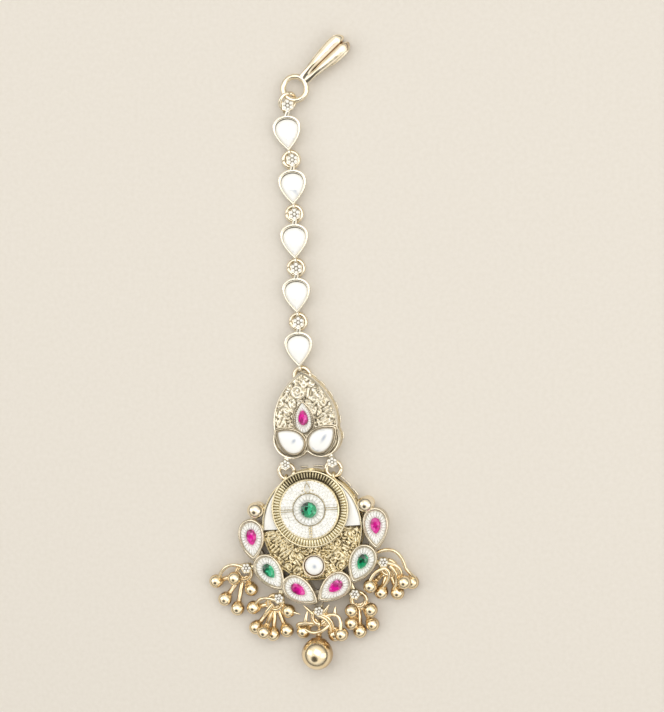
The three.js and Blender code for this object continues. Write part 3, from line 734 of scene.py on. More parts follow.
@dataclass(frozen=True)
class BurnishedGold(Finish):
    """Spun beads and drawn wire, gold plated and burnished: a warm mirror with faint waves and a little
    brown left round the joins. Brown is also painted on the balls' lower sides as a dark reflection."""

    bright: str = "#fff4da"
    deep: str = "#f1d5a2"
    # the film colour also paints the dark reflection on the balls' lower sides
    film: str = "#84561f"
    film_depths: Pair = (0.55, 1.0)  # where the film begins and where it is thickest
    film_most: float = 0.85
    wave: float = 1.6  # mm between the soft hollows of the burnisher
    scuff: float = 0.12  # mm across a rubbed spot, drawn as fine as it still shows
    roughness: Pair = (0.1, 0.24)  # between the scuffs and on them

    def dress(self, wiring: Wiring) -> None:
        """A warm metal whose colour turns brown where the depth is high, at the joins and in the painted
        dark reflection on the balls' lower sides, over slow waves and fine scuffs.
        """
        waves, scuffs = wiring.noise(self.wave, 1.0), wiring.noise(self.scuff, 3.0)
        metal = wiring.mix(waves, self.bright, self.deep)
        film = wiring.ramp(wiring.depth(), self.film_depths, (0.0, self.film_most), eased=True)
        wiring.feed(
            {
                "Base Color": wiring.mix(film, metal, self.film),
                "Metallic": 1.0,
                "Roughness": wiring.ramp(scuffs, (0.3, 0.7), self.roughness),
                "Normal": wiring.bump(waves, strength=0.25, distance=0.12),
            }
        )


@dataclass(frozen=True)
class MilkyGlass(Finish):
    """Foil-backed kundan glass, ground and polished: milky white with a wet gloss and faint grey-blue
    glints, reflections painted into its colour."""

    milk: str = "#fbfaf6"
    glint: str = "#a9b3c4"
    glint_size: float = 2.2  # mm across a glint
    glint_span: Pair = (0.64, 0.8)  # of the noise, from no glint to a whole one
    glint_most: float = 0.75
    roughness: float = 0.09

    def dress(self, wiring: Wiring) -> None:
        """White with stretched grey-blue patches of painted reflection, more where the shell is marked, and
        a slow ripple.
        """
        cloud = wiring.noise(self.glint_size, 2.0, distortion=0.8)
        glints = wiring.ramp(cloud, self.glint_span, (0.0, self.glint_most))
        # painted reflections: grey-blue glints from the noise and from the marks set on the domes
        shown = wiring.maths("MAXIMUM", glints, wiring.depth())
        wiring.feed(
            {
                "Base Color": wiring.mix(shown, self.milk, self.glint),
                "Roughness": self.roughness,
                "IOR": 1.52,
                "Coat Weight": 0.5,
                "Coat Roughness": 0.04,
                "Normal": wiring.bump(cloud, strength=0.2, distance=0.15),
            }
        )


@dataclass(frozen=True)
class CutGlass(Finish):
    """Faceted glass, ground on a wheel and polished: its colour is painted in cells of random tone, from
    nearly black to a bright flash, that stand for the reflections in its facets."""

    dark: str
    body: str
    flash: str
    facet: float = 0.5  # mm across a facet seen through the crown
    roughness: float = 0.06

    def dress(self, wiring: Wiring) -> None:
        """Cells of random tone as painted facet reflections, painted shade where the depth is high, and a
        few painted bright flashes.
        """
        # painted reflections: each cell's random tone stands for what one facet reflects
        pattern = {"Vector": wiring.here, "Scale": per_metre(self.facet), "Randomness": 0.9}
        cells = wiring.add("TexVoronoi", pattern, "Color")
        tone, sparkle, _ = wiring.add("SeparateColor", {0: cells}).node.outputs
        # painted shade: a high depth pulls the colour to the dark tone, on the gems' upper left and on the
        # white ground under the pavé
        side = wiring.ramp(wiring.depth(), result=(0.6, -0.9))
        even = wiring.maths("ADD", side, tone, clamp=True)
        # painted highlights: the brightest cells turn to the flash colour
        flashing = wiring.ramp(sparkle, (0.72, 0.95), (0.0, 0.8))
        wiring.feed(
            {
                "Base Color": wiring.mix(flashing, wiring.mix(even, self.dark, self.body), self.flash),
                "Roughness": self.roughness,
                "IOR": 1.54,
                "Coat Weight": 0.6,
                "Coat Roughness": 0.03,
            }
        )


@dataclass(frozen=True)
class PaleSurface(Finish):
    """Pale matt card under the ornament, pressed smooth: an even warm white with a faint fibre."""

    tone: str = "#e2dcd3"
    fibre_tone: str = "#d8d1c6"
    fibre: float = 0.9  # mm
    roughness: float = 0.85

    def dress(self, wiring: Wiring) -> None:
        """A near-white with a very slight mottling."""
        fibres = wiring.noise(self.fibre, 4.0)
        wiring.feed(
            {
                "Base Color": wiring.mix(fibres, self.tone, self.fibre_tone),
                "Roughness": self.roughness,
            }
        )


CAST = CastGold("cast_antique_gold", Slot.ANTIQUE_GOLD)
RUBBED = CastGold(
    "rubbed_pale_gold",
    Slot.ANTIQUE_GOLD,
    worn="#f8f2e4",
    warm="#e8dec7",
    film="#5f5440",
    film_depths=(0.4, 1.0),
)
# its nearly black film paints the shade in the band's slots, whole at the top of the disc and part way
# elsewhere
SLOTTED = CastGold(
    "slotted_band_gold",
    Slot.ANTIQUE_GOLD,
    worn="#f8f1dc",
    warm="#ebdfb8",
    film="#1b160f",
    film_depths=(0.5, 1.15),
)
BEZEL = CastGold(
    "rubbed_bezel_gold",
    Slot.ANTIQUE_GOLD,
    worn="#e9dfcb",
    warm="#c5b79c",
    film="#4b3f2f",
    film_depths=(0.45, 0.95),
    cloud=2.4,
)
BURNISHED = BurnishedGold("burnished_gold_plate", Slot.POLISHED_GOLD)
PALE_WIRE = BurnishedGold("drawn_pale_gold_wire", Slot.POLISHED_GOLD, bright="#fdf4e2", deep="#f1dfbb")
MILKY = MilkyGlass("foiled_milky_glass", Slot.KUNDAN)
PAVE = CutGlass("pave_white_glass", Slot.KUNDAN, dark="#dad8cf", body="#fbfaf5", flash="#ffffff")
FLORET_GLASS = CutGlass(
    "clouded_floret_glass", Slot.KUNDAN, dark="#f0eadc", body="#fdfaf3", flash="#ffffff"
)
MAGENTA = CutGlass(
    "cut_magenta_glass", Slot.MAGENTA, dark="#8f035a", body="#e00b97", flash="#fb6cc8", facet=0.7
)
GREEN = CutGlass(
    "cut_green_glass", Slot.GREEN, dark="#01301f", body="#0aa168", flash="#52d8a2", facet=0.7
)
CARD = PaleSurface("pressed_pale_card", None)


# ---------- pieces ----------


def disc_centre() -> Array:
    """The middle of the pendant's disc in the row frame, in millimetres, under its centre gem."""
    low, high = (np.array(corner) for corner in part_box("disc_centre_gem"))
    return np.array([*((low + high) / 2 / MM)[:2], 0.0])


def mesh_of(name: str, shell: Shell, shading: Shading, offset: Array) -> bpy.types.Mesh:
    """A Blender mesh of a shell, in metres, with outward faces and the depth as an attribute.

    Args:
        name: the mesh's name.
        shell: the shell, in millimetres.
        shading: rounded or faceted.
        offset: added to the points, in millimetres.

    Returns:
        The mesh.
    """
    mesh = bpy.data.meshes.new(name)
    sizes = np.where(shell.faces[:, 3] < 0, 3, 4)
    corners = shell.faces[shell.faces >= 0]
    mesh.vertices.add(len(shell.points))
    mesh.vertices.foreach_set("co", ((shell.points + offset) * MM).ravel())
    mesh.loops.add(len(corners))
    mesh.loops.foreach_set("vertex_index", corners)
    mesh.polygons.add(len(sizes))
    mesh.polygons.foreach_set("loop_start", np.cumsum(sizes) - sizes)
    mesh.update(calc_edges=True)
    mesh.validate()
    work = bmesh.new()
    work.from_mesh(mesh)
    bmesh.ops.recalc_face_normals(work, faces=work.faces)
    work.to_mesh(mesh)
    work.free()
    mesh.polygons.foreach_set("use_smooth", np.full(len(mesh.polygons), shading is Shading.ROUNDED))
    if shading is Shading.ROUNDED:
        mesh.set_sharp_from_angle(angle=SHARP_ANGLE)
    depth = mesh.attributes.new("depth", "FLOAT", "POINT")
    depth.data.foreach_set("value", shell.depth)
    return mesh


def put(name: str, data: bpy.types.ID) -> bpy.types.Object:
    """Adds an object to the scene.

    Args:
        name: the object's name.
        data: its mesh, light or camera.

    Returns:
        The new object.
    """
    made = bpy.data.objects.new(name, data)
    bpy.context.scene.collection.objects.link(made)
    return made


def add_piece(
    name: str,
    shell: Shell,
    finish: Finish,
    replaces: Sequence[str] = (),
    shading: Shading = Shading.ROUNDED,
) -> bpy.types.Object:
    """Adds a finished piece that rides on the body.

    Args:
        name: the piece's name.
        shell: its shape, in millimetres from the middle of the disc.
        finish: what it is made of.
        replaces: the CAD nodes that it stands for.
        shading: rounded or faceted.

    Returns:
        The new object.
    """
    mesh = mesh_of(name, shell, shading, disc_centre())
    mesh.materials.append(finish.material())
    made = put(name, mesh)
    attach(made, "root")
    if replaces:
        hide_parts(*replaces)
    log.info("%s: %d faces, %s", name, len(mesh.polygons), finish.name)
    return made


# ---------- florets, settings and stones that several pieces share ----------


@dataclass(frozen=True)
class Floret:
    """A little flower of tiny round stones on a lobed seat: one in the middle and a ring round it, with
    dark gaps between them."""

    radius: float = 1.5
    petals: int = 6
    floor: float = 2.65
    thick: float = 0.62
    stone_share: float = 0.27
    ring_share: float = 0.56

    def seat(self, place: Place) -> Shell:
        """The gold seat, dark between its stones, with a worn edge."""
        floor, top = self.floor, self.floor + self.thick
        rows = [  # inset, height, depth
            (0.12, floor, 0.5), (0.0, floor + 0.2, 0.25), (0.0, top - 0.1, 0.0),
            (0.1, top, 0.0), (0.26, top - 0.02, 0.0), (0.36, top - 0.16, 0.7),
            (0.8, top - 0.2, 0.8),
        ]
        return turned(rows, lobed(self.radius, self.petals, hollow=0.09), self.radius, 48).at(place)

    def stones(self, place: Place) -> Shell:
        """The ring of stones and the middle one."""
        angles = np.radians(np.arange(self.petals) * 360 / self.petals)
        reach = self.radius * self.ring_share
        top = self.floor + self.thick - 0.12
        ring = lifted(circle(reach)(angles), top)
        centres = np.concatenate([ring, [[0, 0, top + 0.06]]])
        size = self.radius * self.stone_share
        sizes = np.array([[size, size, 0.34]] * self.petals + [[size * 0.9, size * 0.9, 0.4]])
        return ball_skin(1.0, 6, 10).copies(centres, 18, sizes).at(place)


LARGE_FLORET, SMALL_FLORET = Floret(), Floret(radius=1.3)


def neck(start: Sequence[float], end: Sequence[float], width: float, height: float) -> Shell:
    """A short flat strap between two points, thicker in the middle.

    Args:
        start: first point, with its height.
        end: last point, with its height.
        width: the strap's width.
        height: the strap's thickness.

    Returns:
        The strap.
    """
    return tubes(bent(start, (np.add(start, end) / 2), end, 6), width / 2, 8, flat=height / width)


def dome_rows(edge: float, floor: float, rise: float, half: float) -> Rows:
    """Rows of a low polished dome with a soft table: steep at its girdle, nearly flat on top.

    At the share s of its reach it stands 0.3 + 0.7 · (1 - s⁴) ** 0.8 of its rise above its underside.

    Args:
        edge: how far the girdle stands in from the setting's outline.
        floor: height of its underside.
        rise: its height.
        half: the outline's half width.

    Returns:
        (inset, height, depth) rows.
    """
    share = np.array([1.0, *np.linspace(1, 0.07, 15)])
    level = 0.3 + 0.7 * (1 - share**4) ** 0.8
    level[0] = 0.0
    return [(half - (half - edge) * s, floor + rise * t, 0.0) for s, t in zip(share, level)]


def with_painted_reflection(dome: Shell, middle: Pair, reach: Pair, turn: float) -> Shell:
    """A dome with a soft grey-blue reflection painted on it: depth = exp(-(u / reach)² - (v / reach)²), u
    and v turned.

    Args:
        dome: the stone, in its own frame.
        middle: where the mark lies.
        reach: half its length and half its width.
        turn: degrees from X to its length.

    Returns:
        The marked stone.
    """
    flat = (dome.points[:, :2] - middle) @ rotation(Axis.Z, turn)[:2, :2]
    # painted reflection: the mark's depth turns the milky glass grey-blue there
    return dome.shaded(0.9 * np.exp(-((flat / reach) ** 2).sum(1)))


def underlay(outline: Outline, share: float, half: float, level: float) -> Shell:
    """A thin white plate under a ring of stones, shaped like a share of an outline.

    Args:
        outline: the outline at share 1.
        share: how much of it the plate fills.
        half: the outline's half width.
        level: height of its top.

    Returns:
        The plate.
    """
    inset = half * (1 - share)
    # painted shade: depth 0.9 darkens the plate's white between the stones
    rows = [(inset, level - 0.1, 0.9), (inset, level, 0.9), (inset + 0.05, level + 0.01, 0.9)]
    return turned(rows, outline, half, 48)


def cut_gem(size: Pair, floor: float, rise: float, sides: int = 10) -> Shell:
    """A faceted pear-shaped gem: a pavilion, a girdle, two slopes of crown facets and a table.

    Its depth grows towards the upper left, 0.36 - 0.8 · (x - y) / length, which paints shade where the
    light reaches least.

    Args:
        size: length and width.
        floor: height of its underside.
        rise: its height.
        sides: facets round it.

    Returns:
        The gem, with its tip on -Y.
    """
    half = size[1] / 2
    rows = [  # inset, height, depth
        (half * (1 - share), floor + rise * level, 0.0)
        for share, level in ((0.72, 0.0), (1.0, 0.42), (0.84, 0.76), (0.5, 1.0))
    ]
    gem = turned(rows, pear(*size, 0.35) if size[0] > size[1] else circle(half), half, sides)
    x, y, _ = gem.points.T
    # painted shade on the upper left of the gem
    return gem.shaded(np.clip(0.36 - 0.8 * (x - y) / size[0], 0, 1))


def halo(outline: Outline, shares: Pair, count: int, level: float, rise: float) -> Shell:
    """A ring of narrow stones that stand across an outline, like the rays of a sun.

    Each stone lies between two shares of the outline, is as long as that gap and a little narrower than
    its share of the way round.

    Args:
        outline: the outline at share 1.
        shares: inner and outer share.
        count: number of stones.
        level: height of their feet.
        rise: their height.

    Returns:
        The stones.
    """
    fine = np.linspace(0, FULL_TURN, 721)
    inner, outer = shares
    walk = way_along(outline(fine) * (inner + outer) / 2)
    angles = np.interp(np.arange(count) * walk[-1] / count, walk, fine)
    middle, near, far = (outline(angles) * share for share in ((inner + outer) / 2, inner, outer))
    across = far - near
    turns = np.degrees(np.arctan2(across[:, 1], across[:, 0]))
    length = np.linalg.norm(across, axis=1) / 2 * 1.02  # its ends run a little under both rims
    width = walk[-1] / count / 2 * 0.96  # a hair between neighbours
    sizes = np.stack([length, 0 * length + width, 0 * length + rise], -1)
    return tiny_stone(table=0.6).copies(lifted(middle, level), turns, sizes)


@dataclass(frozen=True)
class Relief:
    """Cast scrollwork as a height field: a plate shared out between patches, each point to the one
    whose edge is nearest.

    A curl's wave is 0.5 + 0.5 · cos(2 pi r / pitch - hand · a) and that of leaf ribs
    0.5 + 0.5 · cos(2 pi q / pitch), where r and a are measured from the patch's middle and q square to
    the ribs. A power narrows the grooves, two crossed waves break them into short strokes, and a groove
    follows each border.
    """

    level: float = PLATE_TOP
    rise: float = 0.45
    pitch: float = 0.68
    spacing: float = 1.6
    widen: float = 0.5
    seam: float = 0.24
    broken: float = 0.5

    def patches(self, named: Sequence[tuple[float, ...]], box: Array, seed: int) -> Array:
        """The named patches, and curls on a shaken hexagonal grid wherever those leave room.

        Args:
            named: (x, y, reach, hand, ribs), ribs in degrees or nan for a curl.
            box: lowest and highest corner of the region.
            seed: of the random shake.

        Returns:
            (k, 5) rows of x, y, hand, ribs and reach.
        """
        random = np.random.default_rng(seed)
        known = np.array(named, float)
        (x1, y1), (x2, y2) = box
        column, row = np.meshgrid(
            np.arange(x1, x2, self.spacing), np.arange(y1, y2, self.spacing * 0.87), indexing="ij"
        )
        column = column + (np.arange(row.shape[1]) % 2) * self.spacing / 2
        spots = np.stack([column.ravel(), row.ravel()], -1)
        spots = spots + random.uniform(-0.35, 0.35, spots.shape)
        gap = np.linalg.norm(spots[:, None] - known[None, :, :2], axis=-1)
        spots = spots[(gap > known[:, 2] + 0.55).all(1)]
        hand = np.where(random.random(len(spots)) < 0.5, 1.0, -1.0)
        ribs = np.where(random.random(len(spots)) < 0.25, random.uniform(0, 180, len(spots)), np.nan)
        filled = np.stack([*spots.T, hand, ribs, np.full(len(spots), self.spacing / 2)], -1)
        return np.concatenate([known[:, [0, 1, 3, 4, 2]], filled])

    def heights(self, spots: Array, patches: Array) -> Array:
        """The relief at each spot, 0 in the grooves and 1 on the tops."""
        flat = spots.reshape(-1, 2)
        away = np.linalg.norm(flat[:, None] - patches[None, :, :2], axis=-1) - patches[:, 4]
        order = np.argsort(away, axis=1)[:, :2]
        near, second = np.take_along_axis(away, order, 1).T
        own = patches[order[:, 0]]
        x, y = (flat - own[:, :2]).T
        pitch = self.pitch * (0.88 + 0.3 * np.mod(own[:, 0] * 7.3 + own[:, 1] * 3.1, 1.0))
        curl = np.cos(FULL_TURN * (near + own[:, 4]) / pitch - own[:, 2] * np.arctan2(y, x))
        way = np.radians(np.nan_to_num(own[:, 3]))
        ribs = np.cos(FULL_TURN * (y * np.cos(way) - x * np.sin(way)) / pitch)
        wave = (0.5 + 0.5 * np.where(np.isnan(own[:, 3]), curl, ribs)) ** self.widen
        wave = wave * smooth((second - near) / self.seam)
        u, v = flat.T
        crossed = np.sin(3.1 * u + 1.9 * np.sin(1.7 * v)) * np.sin(2.7 * v + 1.7 * np.sin(1.9 * u))
        cuts = 1 - self.broken * smooth(0.4 + 1.1 * crossed)
        return (1 - (1 - wave) * cuts).reshape(spots.shape[:-1])

    def surface(self, spots: Array, heights: Array, closed: bool) -> Shell:
        """A skin over the height field with a flat underside, hemmed at its edges.

        Args:
            spots: (rows, columns, 2) places; in a closed one the first row is its middle.
            heights: the relief at each.
            closed: whether the last column joins the first.

        Returns:
            The closed shell.
        """
        floor = self.level - 0.12
        upper = self.level + self.rise * heights
        upper[-1] = floor
        if not closed:
            upper[0] = upper[:, 0] = upper[:, -1] = floor
        lower = np.full_like(upper, floor)
        levels = np.concatenate([upper, lower[::-1]])[..., None]
        points = np.concatenate([np.concatenate([spots, spots[::-1]]), levels], -1)
        depth = np.concatenate([1 - heights, np.ones_like(heights)])
        return skin(points, depth, wrap_rows=not closed, wrap_columns=closed)


# ---------- the chain ----------


@dataclass(frozen=True)
class LinkRow:
    """One link of the chain: its number from the hook, its lean, the swing of the ring above it, how far
    up its top lug stands and how far its floret sits to the right."""

    number: int
    lean: float
    swing: float
    lug_y: float
    floret_x: float


@dataclass(frozen=True)
class Chain:
    """Five pear settings with a floret at each round end, joined by jump rings, up to the hair hook."""

    length: float = 7.9
    width: float = 6.3
    height: float = 2.6
    wall: float = 0.5
    tip_lug: float = -4.1
    floret_y: float = 5.95
    last: Place = Place(-2.85, 34.95)
    rows: tuple[LinkRow, ...] = (
        LinkRow(1, 5.0, -15.0, 5.2, 0.8),
        LinkRow(2, 2.2, 11.0, 4.46, 0.35),
        LinkRow(3, 1.8, 2.0, 4.46, 0.35),
        LinkRow(4, 2.2, 2.0, 4.46, 0.35),
        LinkRow(5, 2.4, 2.3, 4.46, 0.35),
    )
    hook_ring_radius: float = 1.9
    hook_ring_height: float = 1.75
    hook_ring_tilt: float = 42.0
    eye_pull: float = -30.0

    def places(self) -> list[Place]:
        """Where each link lies, from the first at the hook to the last at the motif.

        Each next one up stands a ring's width above the last one's top lug.

        Returns:
            A place for each row.
        """
        found = [Place(self.last.x, self.last.y, self.rows[-1].lean)]
        for row, above in zip(self.rows[:0:-1], self.rows[-2::-1]):
            top = found[0].point(0, row.lug_y)
            tip = Place(*top, row.swing).point(0, 2 * RING_RADIUS)
            found.insert(0, Place(*Place(*tip, above.lean).point(0, -self.tip_lug), above.lean))
        return found

    def lug_pairs(self) -> list[tuple[Pair, Pair]]:
        """The tip lug and the top lug of each link, on the layout."""
        links = zip(self.places(), self.rows)
        return [(at.point(0, self.tip_lug), at.point(0, row.lug_y)) for at, row in links]

    def setting(self, row: LinkRow) -> Shell:
        """The gold of one link: a flared cup with a rolled rim, its floret's seat, strap and two lugs."""
        outline, half = pear(self.length, self.width), self.width / 2
        top = self.height
        rows = [  # inset, height, depth
            (0.62, 0.0, 0.5), (0.5, 0.1, 0.4), (0.43, 0.7, 0.3),
            (0.3, 1.4, 0.25), (0.1, 2.1, 0.15), (0.0, top - 0.25, 0.0),
            (0.05, top - 0.08, 0.0), (0.18, top, 0.0), (0.34, top + 0.02, 0.0),
            (0.5, top - 0.03, 0.0), (0.58, top - 0.12, 0.2), (0.62, top - 0.3, 0.7),
            (0.64, top - 0.7, 0.9),
        ]
        cup = turned(rows, outline, half, 72)
        first = row.number == 1
        seat = LARGE_FLORET.seat(Place(row.floret_x, self.floret_y))
        strap = neck((0, 3.5, 2.3), (row.floret_x, 5.0, 2.65), width=1.1, height=0.5)
        turn, tilt = (row.swing - row.lean, self.hook_ring_tilt) if first else (0.0, 0.0)
        return join(cup, seat, strap, lug(Place(0, self.tip_lug)), lug(Place(0, row.lug_y, turn), tilt))

    def stone(self) -> Shell:
        """The milky dome of a link, set a little towards the tip so that a dark gap shows above it."""
        outline, half = pear(self.length, self.width), self.width / 2
        rows = dome_rows(self.wall + 0.13, self.height - 0.62, 1.15, half)
        return turned(rows, outline, half, 64).moved((0, -0.14, 0))

    def build(self) -> None:
        """Adds the links, their stones and the jump rings."""
        lugs = self.lug_pairs()
        for at, row in zip(self.places(), self.rows):
            name = f"chain_link_{row.number}"
            add_piece(f"{name}_setting", self.setting(row).at(at), RUBBED, [name])
            gem = f"chain_stone_{row.number}"
            add_piece(f"{gem}_dome", self.stone().at(at), MILKY, [gem])
            stones = LARGE_FLORET.stones(Place(row.floret_x, self.floret_y)).at(at)
            add_piece(f"{name}_floret_stones", stones, FLORET_GLASS)
            if row.number > 1:
                upper = lugs[row.number - 2][0]
                ring_between(f"chain_ring_{row.number}", lugs[row.number - 1][1], upper)
        self.build_hook_ring(lugs[0][1])

    def hook_ring_frame(self, top: Pair) -> tuple[float, Pair]:
        """The pitch of the ring that joins the hook, in degrees, and its middle seen from above."""
        pitch = math.asin((self.hook_ring_height - RING_HEIGHT) / self.hook_ring_radius)
        reach = self.hook_ring_radius * math.cos(pitch)
        return math.degrees(pitch), Place(*top, self.rows[0].swing).point(0, reach)

    def build_hook_ring(self, top: Pair) -> None:
        """Adds the tilted ring between the first link and the hook's eye."""
        pitch, (x, y) = self.hook_ring_frame(top)
        lean = rotation(Axis.X, pitch) @ rotation(Axis.Y, self.hook_ring_tilt)
        ring = ring_skin(self.hook_ring_radius, HOOK_RING_WIRE).turned_by(lean)
        place = Place(x, y, self.rows[0].swing, self.hook_ring_height)
        add_piece("hook_jump_ring", ring.at(place), PALE_WIRE, ["chain_ring_1"])

    def hook_eye(self, eye_radius: float, eye_wire: float) -> Pair:
        """The middle of the hook's eye, as far from the ring as their two wires allow.

        Args:
            eye_radius: the eye's radius at the middle of its wire.
            eye_wire: the eye's wire.

        Returns:
            The point on the layout.
        """
        _, (x, y) = self.hook_ring_frame(self.lug_pairs()[0][1])
        play = self.hook_ring_radius - HOOK_RING_WIRE / 2 - eye_wire / 2 - 0.3
        return Place(x, y, self.eye_pull).point(0, play + eye_radius)


def ring_between(node_name: str, start: Pair, end: Pair) -> None:
    """Adds a lying jump ring whose wire passes through two lug centres.

    Args:
        node_name: the CAD node that it stands for.
        start: one lug's centre.
        end: the other lug's centre.
    """
    (x1, y1), (x2, y2) = start, end
    ring = ring_skin(math.dist(start, end) / 2, WIRE)
    turn = math.degrees(math.atan2(y2 - y1, x2 - x1))
    place = Place((x1 + x2) / 2, (y1 + y2) / 2, turn, RING_HEIGHT)
    add_piece(f"{node_name}_wire", ring.at(place), PALE_WIRE, [node_name])


# ---------- the hook ----------


@dataclass(frozen=True)
class HairHook:
    """A leaf-shaped strip that folds back under itself, with a wire eye: a dark furrow runs up the middle
    of its two bright flanks."""

    eye_radius: float = 2.6
    eye_wire: float = 1.1
    notch: float = 0.85
    eye_height: float = 1.8
    strip: float = 0.8
    height: float = 3.2
    start: float = 2.3
    bend: float = 13.9
    return_tip: float = 6.4
    turn: float = -46.7
    front_points: int = 30  # of the strip's path, as far as the end of its bend
    half_widths: tuple[Pair, ...] = (  # way along, half width
        (2.3, 1.25), (4.0, 1.4), (6.2, 1.68),
        (8.5, 2.0), (10.6, 2.22), (12.6, 2.35),
        (13.6, 2.3), (14.4, 2.08), (15.1, 1.6),
        (15.5, 1.15),
    )

    def strip_path(self) -> Array:
        """The middle line of the strip from the eye, up, over the half-round bend and back underneath.

        Returns:
            (n, 2) points: distance along the leaf and height.
        """
        middle, inner = self.height / 2, self.strip / 2
        rise = bent((self.start, self.eye_height), (4.2, 2.5), (7.0, self.height - inner - 0.1), 9)
        flat = np.stack([np.linspace(7.8, self.bend, 9), np.linspace(2.72, self.height - inner, 9)], -1)
        sweep = np.radians(np.linspace(80, -90, 12))
        radius = middle - inner
        arc = np.stack([self.bend + radius * np.cos(sweep), middle + radius * np.sin(sweep)], -1)
        back = np.stack([np.linspace(self.bend - 0.8, self.return_tip + 0.1, 9), np.full(9, inner)], -1)
        return np.concatenate([rise, flat, arc, back])

    def leaf(self) -> Shell:
        """The strip: each station is a flat section, as wide as the leaf there.

        Its point at angle a lies half width · |cos a| ** 0.8 across and half thickness · |sin a| ** 0.45
        off the middle line, each on the side of its cosine or sine. The upper side is hollowed by a
        furrow 0.34 · exp(-(across / 0.3)²) between two flanks that swell by 0.2 · sin(pi · across /
        half width) ** 0.8, and a notch draws the far end back.

        Returns:
            The strip's shell.
        """
        path = self.strip_path()
        along = np.gradient(path, axis=0)
        along /= np.linalg.norm(along, axis=1, keepdims=True)
        normal = np.stack([-along[:, 1], along[:, 0]], -1)
        reach, half = np.array(self.half_widths).T
        width = np.interp(path[:, 0], reach, half)
        bent_under = np.arange(len(path)) > self.front_points
        folding = smooth((path[:, 0] - 12.2) / 2.6)
        tapered = 0.35 + 0.55 * (path[:, 0] - self.return_tip + 0.2)
        width = np.maximum(np.where(bent_under, np.minimum(width, tapered), width), 0.3)
        angles = steps_round(40)
        cosine, sine = np.cos(angles), np.sin(angles)
        across = width[:, None] * np.sign(cosine) * np.abs(cosine) ** 0.8
        furrow = np.exp(-((across / 0.3) ** 2))
        fade = np.clip((path[:, 0] - 3.0) / 2.5, 0, 1)
        fade = np.where(bent_under & (path[:, 0] < 13), 0.0, fade)
        upper = sine > 0.05
        off = self.strip / 2 * np.sign(sine) * np.abs(sine) ** 0.45
        off = np.broadcast_to(off, across.shape) - np.where(upper, 0.34 * furrow * fade[:, None], 0)
        outwards = np.clip(np.abs(across) / width[:, None], 0, 1)
        crown = 0.2 * fade[:, None] * np.sin(math.pi * outwards) ** 0.8
        off = off - np.where(upper, 0.2 - crown, 0.0) * fade[:, None]
        y = path[:, 0, None] + normal[:, 0, None] * off
        y = y - self.notch * folding[:, None] * np.exp(-(((across - 0.2) / 0.36) ** 2))
        z = path[:, 1, None] + normal[:, 1, None] * off
        depth = np.where(upper, 1.1 * furrow * fade[:, None], 0.35 * (1 - sine) / 2)
        # painted reflection: brown on the right flank towards the far end and round the bend
        warm = 0.78 * smooth((path[:, 0, None] - 11.3) / 3) * smooth((across - 0.3) / 0.6)
        depth = np.maximum(depth, np.where(upper, warm, 0.0))
        return skin(capped(np.stack([across, y, z], -1)), np.pad(depth, ((1, 1), (0, 0)), "edge"))

    def build(self, eye: Pair) -> None:
        """Adds the hook with its eye at a point."""
        ring = ring_skin(self.eye_radius, self.eye_wire + 0.15, steps=64, sides=14, joint=False)
        hook = join(self.leaf(), ring.moved((0, 0, self.eye_height))).at(Place(*eye, self.turn))
        add_piece("hair_hook_leaf", hook, PALE_WIRE, ["hair_hook"])


# ---------- the motif ----------


